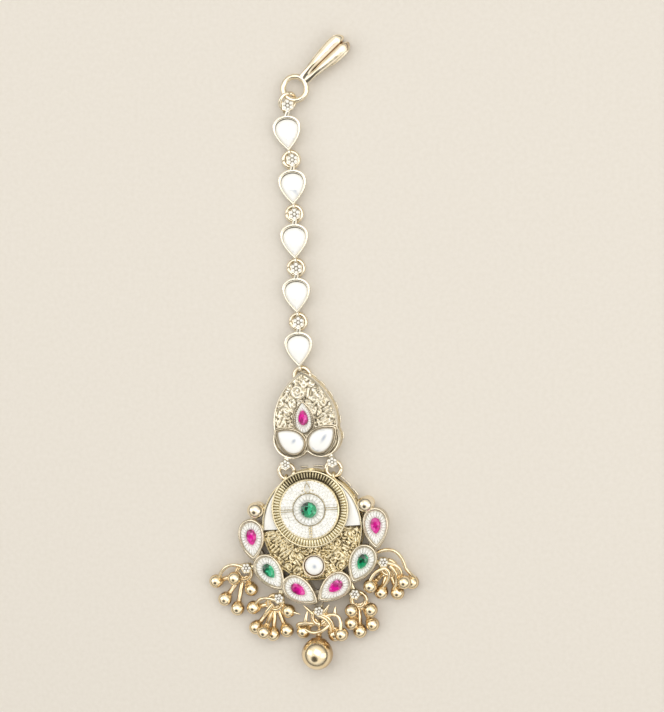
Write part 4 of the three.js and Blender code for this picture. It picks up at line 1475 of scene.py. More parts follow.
@dataclass(frozen=True)
class Motif:
    """The middle plate, broad at its two lobes and drawn up to a tip: scrollwork round a ruby in a halo,
    and two large pear stones."""

    place: Place
    tip: float = 9.8
    half: float = 7.35
    waist: float = -2.9
    lobe_x: float = 3.2
    lobe_y: float = -5.0
    lobe_radius: float = 4.35
    bow: tuple[Pair, Pair] = ((3.5, 8.0), (7.9, 2.8))
    middle: Pair = (0.0, -1.5)
    stone_place: Place = Place(3.6, -5.25, 128.0)
    stone_size: Pair = (8.0, 5.8)
    halo_place: Place = Place(-0.3, -0.4, 180.0)
    halo_size: Pair = (7.3, 5.0)
    lug_y: float = 7.1
    floret_x: float = 5.25
    floret_y: float = -10.55
    edge_steps: int = 240  # round the frame, anticlockwise from the tip
    dash_starts: tuple[int, ...] = (138, 163, 178, 191, 203, 215, 226)
    dash_steps: int = 7
    patches: Table = (  # x, y, reach, hand, ribs
        (-1.24, 5.4, 1.5, 1, math.nan), (2.0, 7.0, 0.8, -1, math.nan), (-1.1, 8.2, 0.5, 1, math.nan),
        (4.3, 5.3, 0.7, 1, 60.0), (5.4, 3.4, 0.6, 1, 95.0), (2.2, 3.5, 0.8, -1, math.nan),
        (3.9, 2.6, 0.5, 1, 130.0), (5.3, 0.9, 0.8, 1, 28.0), (4.3, -0.6, 0.9, 1, 28.0),
        (5.8, -1.5, 0.6, 1, 24.0), (3.2, 0.6, 0.4, 1, 120.0), (-4.2, 4.4, 0.6, 1, 50.0),
        (-5.4, 3.1, 0.7, -1, math.nan), (-4.1, 1.4, 0.8, 1, math.nan), (-5.7, 0.6, 0.5, 1, 75.0),
        (-5.2, -1.4, 0.9, 1, 62.0), (-3.5, -1.0, 0.5, 1, 20.0),
    )

    def outline(self, inset: float) -> Array:
        """The plate's edge, moved inwards: a bowed side, two round lobes with a notch between, and the
        other side.

        Args:
            inset: how far inwards, below 0 for outwards.

        Returns:
            (97, 2) points anticlockwise from the tip.
        """
        (high_x, high_y), (low_x, low_y) = self.bow
        radius = self.lobe_radius - inset
        notch = -math.acos(-self.lobe_x / self.lobe_radius)
        shoulder = math.atan2(self.waist - self.lobe_y, self.half - self.lobe_x)
        share = np.linspace(0, 1, 28)[:, None]
        top = np.array([0, self.tip - 1.3 * inset])
        across, along = radius * math.cos(shoulder), radius * math.sin(shoulder)
        edge = np.array([-self.lobe_x - across, self.lobe_y + along])
        pulls = np.array([[-high_x + inset / 2, high_y - inset], [-low_x + inset, low_y]])
        side = (
            (1 - share) ** 3 * top
            + 3 * share * (1 - share) ** 2 * pulls[0]
            + 3 * share**2 * (1 - share) * pulls[1]
            + share**3 * edge
        )
        sweep = np.linspace(math.pi - shoulder, math.pi - notch, 22)[1:]
        lobe = (-self.lobe_x, self.lobe_y) + radius * ray(sweep)
        left = np.concatenate([side, lobe])
        return np.concatenate([left, (left * (-1, 1))[:0:-1]])

    def plate(self) -> Shell:
        """The front plate, its rolled rim, the open frame behind it and the posts between them."""
        front = [  # inset, height, depth
            (0.25, PLATE_FLOOR, 0.5), (0.02, PLATE_FLOOR + 0.12, 0.35), (0.0, 3.4, 0.1),
            (0.05, 3.6, 0.0), (0.18, 3.72, 0.0), (0.34, 3.7, 0.0),
            (0.46, 3.58, 0.3), (0.52, PLATE_TOP, 1.0), (0.9, PLATE_TOP, 1.0),
        ]
        back = over_edge(self.outline, frame_rows(width=1.2), hollow=True)
        held = posts(self.lobe_y - 2.5, ((6.6, -4.5), (4.3, 4.9)))
        return join(over_edge(self.outline, front), back, held)

    def bezels(self) -> Shell:
        """Stepped settings of the two pear stones and of the ruby's halo: lines and grooves that run
        round each other."""
        stone_rows = [  # inset, height, depth
            (-0.34, PLATE_TOP - 0.2, 1.0), (-0.34, 3.5, 0.9), (-0.26, 3.66, 0.0),
            (-0.14, 3.7, 0.0), (-0.06, 3.56, 1.1), (0.0, 4.0, 0.3),
            (0.06, 4.2, 0.0), (0.18, 4.24, 0.0), (0.23, 4.06, 1.1),
            (0.28, 4.2, 0.2), (0.36, 4.44, 0.0), (0.5, 4.44, 0.0),
            (0.56, 4.3, 0.5), (0.58, 3.8, 0.8),
        ]
        width = self.stone_size[1]
        cup = turned(stone_rows, pear(*self.stone_size, FULL), width / 2, 72)
        left = Place(-self.stone_place.x, self.stone_place.y, -self.stone_place.turn)
        halo_rows = [  # inset, height, depth
            (0.1, PLATE_TOP - 0.1, 1.0), (0.0, 3.7, 0.7), (0.05, 3.86, 0.0),
            (0.16, 3.88, 0.0), (0.26, 3.7, 0.75), (0.78, 3.7, 0.75),
            (0.84, 3.9, 0.2), (0.9, 3.9, 0.2), (1.0, 3.7, 0.6),
            (1.4, 3.5, 1.0),
        ]
        wide = self.halo_size[1]
        middle = turned(halo_rows, pear(*self.halo_size, FULL), wide / 2, 72)
        dots = resampled(pear(*self.halo_size, FULL)(np.linspace(0, FULL_TURN, 200)) * 0.79, 34)
        grains = ball_skin(1.0).copies(lifted(dots, 3.76), 0.0, 0.2)
        return join(cup.at(self.stone_place), cup.at(left), join(middle, grains).at(self.halo_place))

    def scrollwork(self) -> Shell:
        """The relief on the plate: middle + share · (edge - middle) for shares from 0 to 1, and plain
        lines that follow the edge beside the two stones."""
        relief = Relief(pitch=0.74, spacing=1.7, widen=0.4)
        edge = resampled(self.outline(0.42), 330)
        middle = np.array(self.middle)
        share = np.linspace(0, 1, 74)[:, None, None]
        spots = middle + share * (edge - middle)
        patches = relief.patches(self.patches, np.array([[-7.5, -3.5], [7.5, 9.6]]), seed=4)
        heights = relief.heights(spots, patches)
        reach = np.linalg.norm(edge - middle, axis=-1)
        lines = (0.5 + 0.5 * np.cos(FULL_TURN * (1 - share[..., 0]) * reach / 0.55)) ** 0.6
        low = smooth((-3.2 - spots[..., 1]) / 0.5)
        return relief.surface(spots, heights * (1 - low) + lines * low, closed=True)

    def gallery_dashes(self) -> Shell:
        """Short thin strips of the pierced frame that show beyond the right edge."""
        edge = resampled(self.outline(-0.2), self.edge_steps)
        paths = edge[np.array(self.dash_starts)[:, None] + np.arange(self.dash_steps)]
        return tubes(lifted(paths, 0.35), 0.2, sides=10, depth=(0.0, 0.3))

    def build(self) -> None:
        """Adds the motif's pieces."""
        florets = [Place(side * self.floret_x, self.floret_y) for side in SIDES]
        seats = [SMALL_FLORET.seat(at) for at in florets]
        straps = [
            neck((at.x * 0.9, at.y + 2.6, 2.6), (at.x, at.y, 2.75), width=1.1, height=0.6)
            for at in florets
        ]
        body = join(self.plate(), *seats, *straps, lug(Place(0, self.lug_y)), *map(lug, florets))
        add_piece("motif_plate", body.at(self.place), RUBBED, ["motif_body"])
        add_piece("motif_gallery_dashes", self.gallery_dashes().at(self.place), RUBBED)
        add_piece("motif_bezels", self.bezels().at(self.place), BEZEL)
        add_piece("motif_scrollwork", self.scrollwork().at(self.place), RUBBED)
        length, width = self.stone_size
        profile = dome_rows(edge=0.58, floor=3.85, rise=1.0, half=width / 2)
        dome = turned(profile, pear(length, width, FULL), width / 2)
        # painted reflections: one grey-blue mark on each of the two large stones
        marks = (((-0.6, 0.81), (0.62, 0.36), 174.0), ((-0.09, -0.6), (1.05, 0.36), -74.0))
        for (side, name), mark in zip(SIDES.items(), marks):
            at = Place(side * self.stone_place.x, self.stone_place.y, side * self.stone_place.turn)
            stone = with_painted_reflection(dome, *mark).at(at).at(self.place)
            add_piece(f"motif_dome_{name}", stone, MILKY, [f"motif_stone_{name}"])
        rays = pear(6.5, 3.4, FULL)
        stones = halo(rays, shares=(0.6, 1.0), count=24, level=3.76, rise=0.5)
        pave = join(stones, underlay(rays, share=1.0, half=1.7, level=3.86)).at(self.halo_place)
        add_piece("motif_pave", pave.at(self.place), PAVE, shading=Shading.FACETED)
        dots = join(*[SMALL_FLORET.stones(at) for at in florets])
        add_piece("motif_floret_stones", dots.at(self.place), FLORET_GLASS)
        gem = cut_gem(size=(3.4, 2.2), floor=3.6, rise=1.15).at(self.halo_place).at(self.place)
        add_piece("motif_ruby", gem, MAGENTA, ["motif_centre_gem"], Shading.FACETED)


# ---------- the pendant ----------


@dataclass(frozen=True)
class Petal:
    """One pear setting of the pendant's lower edge: where its gem lies, and how long and wide it is."""

    place: Place
    length: float
    width: float

    def outline(self) -> Outline:
        """The setting's edge, drawn about its gem, which lies nearer to the round end."""
        return pear(self.length, self.width, FULL, 0.6)

    def cup(self) -> Shell:
        """A smooth flared wall, a broad rolled bezel, a bed and the gem's pocket."""
        half = self.width / 2
        rows = [  # inset, height, depth
            (0.44, 0.0, 0.55), (0.38, 0.3, 0.4), (0.26, 1.8, 0.3),
            (0.08, 3.6, 0.2), (0.0, 4.15, 0.1), (0.05, 4.42, 0.05),
            (0.18, 4.57, 0.0), (0.36, 4.6, 0.0), (0.5, 4.5, 0.0),
            (0.58, 4.28, 0.6), (0.62, 4.2, 0.35), (half * 0.6, 4.15, 0.35),
            (half * 0.64, 3.75, 1.0),
        ]
        return turned(rows, self.outline(), half, 72).at(self.place)

    def halo(self) -> Shell:
        """The white stones between the gem and the bezel, and the white plate under them."""
        inner, outer = 0.43, 0.79
        stones = halo(self.outline(), (inner, outer), count=24, level=4.12, rise=0.5)
        return join(stones, underlay(self.outline(), outer, self.width / 2, level=4.22)).at(self.place)

    def gem(self) -> Shell:
        """The gem, a long narrow drop."""
        return cut_gem(size=(3.65, 2.35), floor=3.85, rise=1.2).at(self.place)


@dataclass(frozen=True)
class Disc:
    """The pendant's round tier: a smooth rim, a fluted band, a white field in four quarters and a green
    gem in its own halo."""

    rim: float = 8.6
    band_outer: float = 8.15
    band_inner: float = 6.75
    field: float = 6.5
    halo: float = 3.7
    flutes: int = 76

    def tier(self) -> Shell:
        """The turned body: foot, flared rim, sunk band, the field's edge and the halo's ring."""
        rows = [  # inset, height, depth
            (0.7, PLATE_TOP - 0.2, 0.9), (0.7, 3.9, 0.7), (0.3, 4.35, 0.3),
            (0.02, 4.62, 0.0), (0.05, 4.76, 0.0), (0.16, 4.82, 0.0),
            (0.34, 4.8, 0.0), (0.43, 4.7, 0.3), (0.46, 4.4, 1.0),
            (1.8, 4.4, 1.0), (1.86, 5.2, 0.8), (1.95, 5.52, 0.1),
            (2.08, 5.6, 0.0), (2.2, 5.54, 0.1), (2.3, 5.4, 0.2),
            (4.86, 5.38, 0.6), (4.92, 5.58, 0.6), (4.98, 5.66, 0.3),
            (5.04, 5.66, 0.3), (5.1, 5.54, 0.9), (5.3, 5.5, 0.4),
            (6.6, 5.45, 0.3), (6.75, 5.3, 1.0),
        ]
        return turned(rows, circle(self.rim), self.rim, 128)

    def fluted_band(self) -> Shell:
        """A ring of ribs with slots: height = 4.32 + 0.42 · (0.5 + 0.5 · cos(flutes · a)) ** k, tapered at
        both rims. k grows from 0.34 to 1.24 at the top of the disc, where the slots are wide. Their depth
        also grows towards the top, which paints shade into the slots, black there."""
        angle = steps_round(self.flutes * 10)
        top = smooth((np.sin(angle) - 0.62) / 0.25)
        wave = (0.5 + 0.5 * np.cos(self.flutes * angle)) ** (0.34 + 0.9 * top)
        inner, outer = self.band_inner, self.band_outer
        radius = np.array([inner - 0.05, inner, 7.0, 7.5, 7.95, outer, outer + 0.05])
        lift = np.array([0.0, 0.8, 1.0, 1.0, 1.0, 0.8, 0.0])[:, None]
        height = 4.32 + 0.42 * wave * lift
        points = lifted(radius[:, None, None] * ray(angle), height)
        floor = points[::-1] * (1, 1, 0) + (0, 0, 4.1)
        # painted shade: the slots' depth grows towards the top of the disc, so their film turns black there
        dark = 0.98 + 0.14 * np.sin(angle) + 0.4 * top
        depth = np.concatenate([dark * (1 - wave * lift), np.ones_like(height)])
        return skin(np.concatenate([points, floor]), depth, wrap_rows=True)

    def spokes(self) -> Shell:
        """Thin lines across the field: double ones left, right and below, with grains on the lowest, and at
        the top a tear-drop loop on a single line, cradled by two arcs."""
        reach = np.linspace(self.halo, self.field - 0.1, 8)
        along = ray(np.radians([0, 180, 270]))
        side = along[:, ::-1] * (-1, 1)
        starts = side[:, None, None] * np.array([-0.24, 0.24])[None, :, None, None]
        paths = (along[:, None, None] * reach[:, None] + starts).reshape(-1, len(reach), 2)
        arcs = bent([[-1.6, 3.5], [1.6, 3.5]], [[-1.2, 4.7], [1.2, 4.7]], [[-0.3, 3.9], [0.3, 3.9]], 8)
        stem = np.stack([np.zeros(8), np.linspace(5.95, self.field - 0.1, 8)], -1)[None]
        paths = lifted(np.concatenate([paths, arcs, stem]), 5.6)
        lines = tubes(paths, 0.08, flat=1.3, depth=(0.25, 0.7))
        drop = pear(2.3, 1.3)(steps_round(26)) * (1, -1) + (0, 4.8)
        tear = tubes(lifted(drop, 5.7), 0.09, flat=1.3, closed=True, depth=(0.2, 0.7))
        grains = np.array([(0.0, y, 5.6) for y in (-4.1, -4.7, -5.3, -5.9)])
        return join(lines, tear, ball_skin(1.0).copies(grains, 0.0, 0.18))

    def pave(self) -> Shell:
        """Rows of tiny white stones over the four quarters on a white ground, and the ring round the green
        gem."""
        groups = []
        for radius, size in ((4.1, 0.4), (4.75, 0.42), (5.4, 0.43), (6.02, 0.42)):
            count = int(FULL_TURN * radius / (2 * size * 0.93))
            angle = (np.arange(count) + 0.5) * FULL_TURN / count
            spots = radius * ray(angle)
            clear = np.abs(spots).min(-1) > 0.5  # of the spokes
            centres, turns = lifted(spots[clear], 5.36), np.degrees(angle[clear])
            groups.append(tiny_stone(table=0.45).copies(centres, turns, (size, size, 0.4)))
        ring = halo(circle(3.3), shares=(0.6, 1.0), count=22, level=5.5, rise=0.42)
        angle = steps_round(96)
        edges = np.array([3.72, 3.72, 6.3, 6.3])[:, None, None] * ray(angle)
        # painted shade: depth 0.5 darkens the white ground between the stones
        field = loft(edges, [5.3, 5.46, 5.46, 5.3], [0.5] * 4, hollow=True)
        return join(*groups, ring, field, underlay(circle(3.45), share=1.0, half=3.45, level=5.58))


@dataclass(frozen=True)
class FloretRow:
    """A floret on the pendant's edge: its middle, and in degrees the way that its strap points back and
    the way that its lug hangs."""

    x: float
    y: float
    hold: float
    hang: float


FLORETS = (
    FloretRow(-15.6, -12.5, -90.0, -38.0),
    FloretRow(-8.8, -19.6, -20.0, -45.0),
    FloretRow(0.0, -22.9, -16.0, -9.0),
    FloretRow(8.3, -19.5, 20.0, 18.0),
    FloretRow(15.2, -12.8, 90.0, 27.0),
)


@dataclass(frozen=True)
class Pendant:
    """The large pendant: a round tier on an oval plate, six petals, two white crescents, side balls and
    florets for the bead clusters."""

    place: Place
    disc: Disc = Disc()
    body_y: float = -4.0
    half_width: float = 11.2
    half_height: float = 12.0
    border: float = 0.35
    fan_inner: float = 8.45
    crescent_cut: float = -4.2
    crescent_inner: float = 8.25
    crescent_top: float = 4.68
    round_y: float = -12.5
    round_outer: float = 2.6
    ball_x: float = 12.35
    ball_y: float = 0.3
    lug_x: float = 5.35
    lug_y: float = 6.6
    dashes: Table = (  # reach and angle, first and last
        (9.25, 103.0, 9.05, 93.5),
        (9.1, 84.5, 9.4, 71.0),
        (9.3, 44.0, 9.45, 36.0),
        (9.5, 34.0, 9.75, 25.0),
        (9.8, 22.0, 10.5, 11.0),
    )
    patches: Table = (  # x, y, reach, hand, ribs
        (9.2, -5.9, 0.9, 1, math.nan), (8.4, -4.2, 0.8, 1, 0.0), (-9.1, -5.2, 0.9, 1, 12.0),
        (-7.6, -6.9, 1.2, 1, 24.0), (-8.8, -8.4, 1.0, 1, 40.0), (-6.6, -9.4, 1.0, 1, 30.0),
        (-4.6, -10.2, 0.8, -1, math.nan), (-5.0, -7.9, 0.6, 1, 20.0), (5.3, -7.9, 0.8, 1, math.nan),
        (5.3, -10.6, 0.9, -1, math.nan), (7.4, -8.8, 0.7, 1, 150.0), (7.1, -6.9, 0.5, 1, 165.0),
        (-2.2, -9.4, 0.7, 1, 5.0), (2.4, -9.4, 0.7, 1, 175.0), (-5.9, -12.8, 0.8, 1, math.nan),
        (5.9, -13.0, 0.8, 1, math.nan),
    )
    petals: tuple[Petal, ...] = (
        Petal(Place(-13.66, -5.55, 2.0), 9.4, 5.9),
        Petal(Place(-10.3, -13.25, 33.0), 9.4, 6.0),
        Petal(Place(-4.05, -17.7, 53.0), 9.1, 5.8),
        Petal(Place(4.35, -17.38, -55.0), 9.0, 5.8),
        Petal(Place(10.7, -12.22, -29.0), 9.3, 6.0),
        Petal(Place(14.25, -4.47, -2.0), 9.4, 5.8),
    )
    green_petals: tuple[int, ...] = (2, 5)

    def oval(self, inset: float, count: int = 128) -> Array:
        """The body plate's edge moved inwards: (half width · sin a, y - half height · cos a)."""
        angle = steps_round(count)
        edge = ellipse(self.half_width - inset, self.half_height - inset)
        return edge(angle) + (0, self.body_y)

    def plate(self) -> Shell:
        """The oval plate and its thin edge, the open frame behind it, the arch behind the disc, posts."""
        front = [  # inset, height, depth
            (0.2, PLATE_FLOOR, 0.5), (0.0, PLATE_FLOOR + 0.15, 0.35), (0.0, 3.75, 0.05),
            (0.08, 3.9, 0.0), (0.24, 3.92, 0.0), (0.36, 3.8, 0.4),
            (0.4, PLATE_TOP, 1.0), (0.8, PLATE_TOP, 1.0),
        ]
        back = over_edge(self.oval, frame_rows(width=1.1), hollow=True)
        round_loop = ray(steps_round(96))
        inset, heights, depth = np.array(frame_rows(width=1.0, swell=0.05)).T
        arch = loft((self.disc.rim - inset)[:, None, None] * round_loop, heights, depth, hollow=True)
        held = posts(self.disc.rim - 0.6, ((9.4, 1.7), (7.4, -12.2)))
        return join(over_edge(self.oval, front), back, arch, held)

    def gallery_dashes(self) -> Shell:
        """Short thin strips of the pierced frames that show beyond the disc's top and the right side, each
        from one reach and angle to another."""
        reach, angle, last_reach, last_angle = np.array(self.dashes).T[..., None]
        share = np.linspace(0, 1, 7)
        reach = reach + (last_reach - reach) * share
        turn = np.radians(angle + (last_angle - angle) * share)
        return tubes(lifted(reach[..., None] * ray(turn), 0.4), 0.18, sides=10, depth=(0.0, 0.3))

    def side_ball(self, side: int) -> Shell:
        """A polished ball on a waisted cup, with a turned collar between them."""
        radius, middle = 1.85, 3.8
        angles = np.radians(np.linspace(-50, 90, 16))[:-1]
        ball = [(radius - radius * math.cos(a), middle + radius * math.sin(a), 0.0) for a in angles]
        rows = [  # inset, height, depth
            (0.35, 0.0, 0.5), (0.3, 0.25, 0.3), (0.7, 0.8, 0.5),
            (0.78, 1.4, 0.6), (0.3, 2.1, 0.3), (0.22, 2.28, 0.0),
            (0.34, 2.38, 0.7),
            *ball,
        ]
        return turned(rows, circle(radius), radius, 40).at(Place(side * self.ball_x, self.ball_y))

    def crescent(self, side: int) -> Shell:
        """A white inlay between the disc and the oval's edge.

        At each y it spans from the disc's circle to the inset oval, and its top is pillowed:
        3.5 + 0.45 · sin(pi · across) ** 0.5 · sin(pi · along) ** 0.3.

        Args:
            side: -1 for the left and 1 for the right.

        Returns:
            The inlay.
        """
        y = np.linspace(self.crescent_cut, self.crescent_top - 0.12, 40)[:, None]
        inner = np.sqrt(self.crescent_inner**2 - y**2)
        inset = self.border + 0.12
        wide, high = self.half_width - inset, self.half_height - inset
        outer = wide * np.sqrt(1 - ((y - self.body_y) / high) ** 2)
        across = np.linspace(0, 1, 9)[None]
        x = inner + (outer - inner) * across
        ends = np.sin(math.pi * np.clip(np.linspace(0.02, 0.98, 40), 0, 1))[:, None] ** 0.3
        top = 3.5 + 0.45 * np.sqrt(np.clip(np.sin(math.pi * across), 0, 1)) * ends
        upper = np.stack(np.broadcast_arrays(side * x, y, top), -1)
        lower = np.stack(np.broadcast_arrays(side * x, y, 0 * x + 3.25), -1)[:, ::-1]
        return skin(capped(np.concatenate([upper, lower], 1)), 0.0)

    def round_setting(self) -> Shell:
        """The round stone's setting: a waisted stem and a deep rolled rim."""
        outer = self.round_outer
        rows = [  # inset, height, depth
            (outer * 0.15, 3.0, 0.9), (outer * 0.13, 3.9, 0.7), (0.12, 4.4, 0.4),
            (0.0, 4.75, 0.1), (0.05, 4.95, 0.0), (0.15, 5.02, 0.0),
            (0.24, 4.98, 0.3), (0.36, 4.75, 0.85), (0.5, 4.5, 1.0),
            (0.56, 4.3, 1.0),
        ]
        return turned(rows, circle(outer), outer, 64).at(Place(0, self.round_y))

    def web(self) -> Shell:
        """The low plates that tie the tips of the petals to each other."""
        rows = [(0.1, 2.6, 0.9), (0.0, 2.8, 0.9), (0.0, 3.7, 0.85), (0.12, 3.85, 0.75), (0.5, 3.9, 0.8)]
        low = turned(rows, ellipse(1.35, 1.9), 1.35, 32)
        side = turned(rows, ellipse(0.7, 1.5), 0.7, 32)
        left, right = Place(-11.9, -9.6, 20.0), Place(12.9, -8.9, -20.0)
        return join(low.at(Place(0.1, -19.9)), side.at(left), side.at(right))

    def scrollwork(self) -> Shell:
        """The relief on the fan below the disc: from its inner edge out to where the ray at each angle
        meets the inset oval, t = (sqrt(B² - 4 A C) - B) / 2 A, with A, B, C from the oval's equation."""
        relief = Relief()
        angle = np.radians(np.linspace(-156, -24, 230))
        wide, high = self.half_width - 0.38, self.half_height - 0.38
        a = (np.cos(angle) / wide) ** 2 + (np.sin(angle) / high) ** 2
        b = -2 * self.body_y * np.sin(angle) / high**2
        edge = (np.sqrt(b**2 - 4 * a * ((self.body_y / high) ** 2 - 1)) - b) / (2 * a)
        reach = self.fan_inner + (edge - self.fan_inner) * np.linspace(0, 1, 64)[:, None]
        spots = reach[..., None] * ray(angle)
        patches = relief.patches(self.patches, np.array([[-11.0, -16.0], [11.0, -4.4]]), seed=9)
        low = smooth((self.crescent_cut - 0.1 - spots[..., 1]) / 0.2)
        return relief.surface(spots, relief.heights(spots, patches) * low, closed=False)

    def florets(self) -> tuple[Shell, Shell]:
        """The five florets with their straps and lugs, and the florets' stones."""
        gold, stones = [], []
        for row in FLORETS:
            at = Place(row.x, row.y, row.hold)
            strap = neck((row.x, row.y, 2.5), (*at.point(0, 3.0), 2.3), width=1.1, height=0.7)
            gold += [SMALL_FLORET.seat(at), strap, lug(Place(row.x, row.y, row.hang))]
            stones.append(SMALL_FLORET.stones(at))
        return join(*gold), join(*stones)

    def build(self) -> None:
        """Adds the pendant's pieces."""
        gold, floret_stones = self.florets()
        lugs = [lug(Place(side * self.lug_x, self.lug_y)) for side in SIDES]
        reach = np.array([[self.half_width - 1.2, self.ball_y, 2.6], [self.ball_x, self.ball_y, 2.6]])
        arms = [neck(*(reach * (side, 1, 1)), width=1.4, height=0.8) for side in SIDES]
        body = join(self.plate(), self.disc.tier(), self.disc.spokes(), gold, *lugs, *arms)
        add_piece("pendant_plate", body.at(self.place), CAST, ["pendant_body"])
        add_piece("pendant_gallery_dashes", self.gallery_dashes().at(self.place), RUBBED)
        add_piece("pendant_fluted_band", self.disc.fluted_band().at(self.place), SLOTTED)
        add_piece("pendant_scrollwork", self.scrollwork().at(self.place), CAST)
        cups = join(*[petal.cup() for petal in self.petals], self.web())
        add_piece("pendant_bezels", cups.at(self.place), BEZEL)
        balls = join(*map(self.side_ball, SIDES), self.round_setting())
        add_piece("pendant_balls_and_round_rim", balls.at(self.place), PALE_WIRE)
        for side, name in SIDES.items():
            piece = self.crescent(side).at(self.place)
            add_piece(f"pendant_crescent_{name}", piece, MILKY, [f"crescent_stone_{name}"])
        outer = self.round_outer
        profile = dome_rows(edge=0.56, floor=4.32, rise=1.25, half=outer)
        # painted reflection: a small grey-blue mark near the middle of the round stone
        dome = with_painted_reflection(turned(profile, circle(outer), outer, 56), (0.25, -0.1), (0.42, 0.42), 0.0)
        dome = dome.at(Place(0, self.round_y)).at(self.place)
        add_piece("pendant_round_dome", dome, MILKY, ["round_stone"])
        emerald = cut_gem(size=(3.6, 3.6), floor=5.5, rise=1.4, sides=12)
        add_piece("pendant_emerald", emerald.at(self.place), GREEN, ["disc_centre_gem"], Shading.FACETED)
        for number, petal in enumerate(self.petals, 1):
            finish = GREEN if number in self.green_petals else MAGENTA
            gem = petal.gem().at(self.place)
            name, stone = f"pendant_petal_cut_{number}", f"petal_gem_{number}"
            add_piece(name, gem, finish, [stone], Shading.FACETED)
        pave = join(self.disc.pave(), *[petal.halo() for petal in self.petals])
        add_piece("pendant_pave", pave.at(self.place), PAVE, shading=Shading.FACETED)
        add_piece("pendant_floret_stones", floret_stones.at(self.place), FLORET_GLASS)


# ---------- bead clusters and the drop ball ----------


def drop_frame(start: Array, end: Array) -> Array:
    """The turn that takes +Z to the way from one point to another.

    Args:
        start: first point.
        end: second point.

    Returns:
        A 3 × 3 matrix whose columns are two cross directions and that way.
    """
    way = (end - start) / np.linalg.norm(end - start)
    across = np.cross(way, (0.0, 0.31, 0.95))
    across /= np.linalg.norm(across)
    return np.stack([across, np.cross(way, across), way], -1)


def with_painted_underside_reflection(shell: Shell, middle: Array, radius: float) -> Shell:
    """A bead with a brown dark reflection painted on its lower side.

    The ball's depth is at least 0.8 · s((0.85 - (z - height) / radius) / 0.5), with s the smooth step.

    Args:
        shell: the bead where it lies.
        middle: its middle.
        radius: its radius.

    Returns:
        The same bead with the painted reflection.
    """
    away = (shell.points - middle) / radius
    # painted reflection: brown on the lower side of the ball, below 0.85 of its radius
    film = 0.8 * smooth((0.85 - away[:, 2]) / 0.5) * (np.linalg.norm(away, axis=1) < 1.03)
    return shell.shaded(np.maximum(shell.depth, film))


def ball_rows(radius: float, low: float, high: float, count: int) -> Rows:
    """Rows of a ball's side from one latitude to another in degrees: (r cos b, r sin b, 0)."""
    angles = np.radians(np.linspace(low, high, count))
    return [(radius * math.cos(b), radius * math.sin(b), 0.0) for b in angles]


def spun(rows: Rows, radius: float, segments: int) -> Shell:
    """A bead turned about Z, closed at its first and last rows.

    Args:
        rows: (distance from the axis, height, depth).
        radius: the ball's radius.
        segments: points round it.

    Returns:
        The closed shell.
    """
    profile = [(radius - across, height, depth) for across, height, depth in rows]
    return turned(profile, circle(radius), radius, segments)


BEAD_RADIUS = 1.55


@dataclass(frozen=True)
class BeadCluster:
    """A jump ring with its beads, each on a tapered stem with a cap and a loop round the ring. The arcs
    are bent wires, each from a start past a middle to an end, and the pins are pointed straight ones."""

    number: int
    beads: tuple[Triple, ...]
    arcs: tuple[tuple[Triple, Triple, Triple], ...] = ()
    pins: tuple[tuple[Triple, Triple], ...] = ()

    def ring_centre(self) -> Array:
        """The middle of the cluster's jump ring."""
        row = FLORETS[self.number - 1]
        return np.array([*Place(row.x, row.y, row.hang).point(0, -RING_RADIUS), RING_HEIGHT])

    def bead(self, middle: Array, hold: Array) -> Shell:
        """A bead with its cap, stem and loop, pointing from its middle to where it is held."""
        radius, reach = BEAD_RADIUS, float(np.linalg.norm(hold - middle)) - 0.5
        cap = [  # across and height as shares of the radius, depth
            (0.73, 0.73, 0.6), (0.78, 0.76, 0.1), (0.66, 0.9, 0.2),
            (0.46, 1.06, 0.5), (0.35, 1.16, 0.9), (0.41, 1.24, 0.3),
            (0.35, 1.32, 0.8),
        ]
        stem = [(0.55, max(reach * 0.7, radius * 1.4), 0.7), (0.42, reach, 0.3)]
        rows = [*ball_rows(radius, -84, 46, 15), *((a * radius, h * radius, d) for a, h, d in cap), *stem]
        body = spun(rows, radius, 24)
        loop = ring_skin(0.68, 0.46, steps=20, sides=10, joint=False)
        loop = loop.turned_by(rotation(Axis.X, 90)).moved((0, 0, reach + 0.5))
        whole = join(body, loop).turned_by(drop_frame(middle, hold)).moved(middle)
        return with_painted_underside_reflection(whole, middle, radius)

    def build(self, place: Place) -> None:
        """Adds the cluster on the pendant at a place."""
        centre = self.ring_centre()
        drops = []
        for row in self.beads:
            middle = np.array(row)
            flat = (middle - centre) * (1, 1, 0)
            hold = centre + flat / np.linalg.norm(flat) * RING_RADIUS
            drops.append(self.bead(middle, hold))
        taper = np.array([0.34, 0.42, 0.43, 0.41, 0.36, 0.28, 0.18, 0.07])
        shape = {"sides": 10, "depth": (0.0, 0.4)}
        wires = [tubes(bent(*arc, 18), 0.4, up=(0.12, 0.07, 1.0), **shape) for arc in self.arcs]
        wires += [tubes(np.linspace(*map(np.array, pin), 8), taper, **shape) for pin in self.pins]
        ring = ring_skin(RING_RADIUS, WIRE).moved(centre)
        name = f"bead_cluster_{self.number}"
        add_piece(f"{name}_beads", join(ring, *drops, *wires).at(place), BURNISHED, [name])


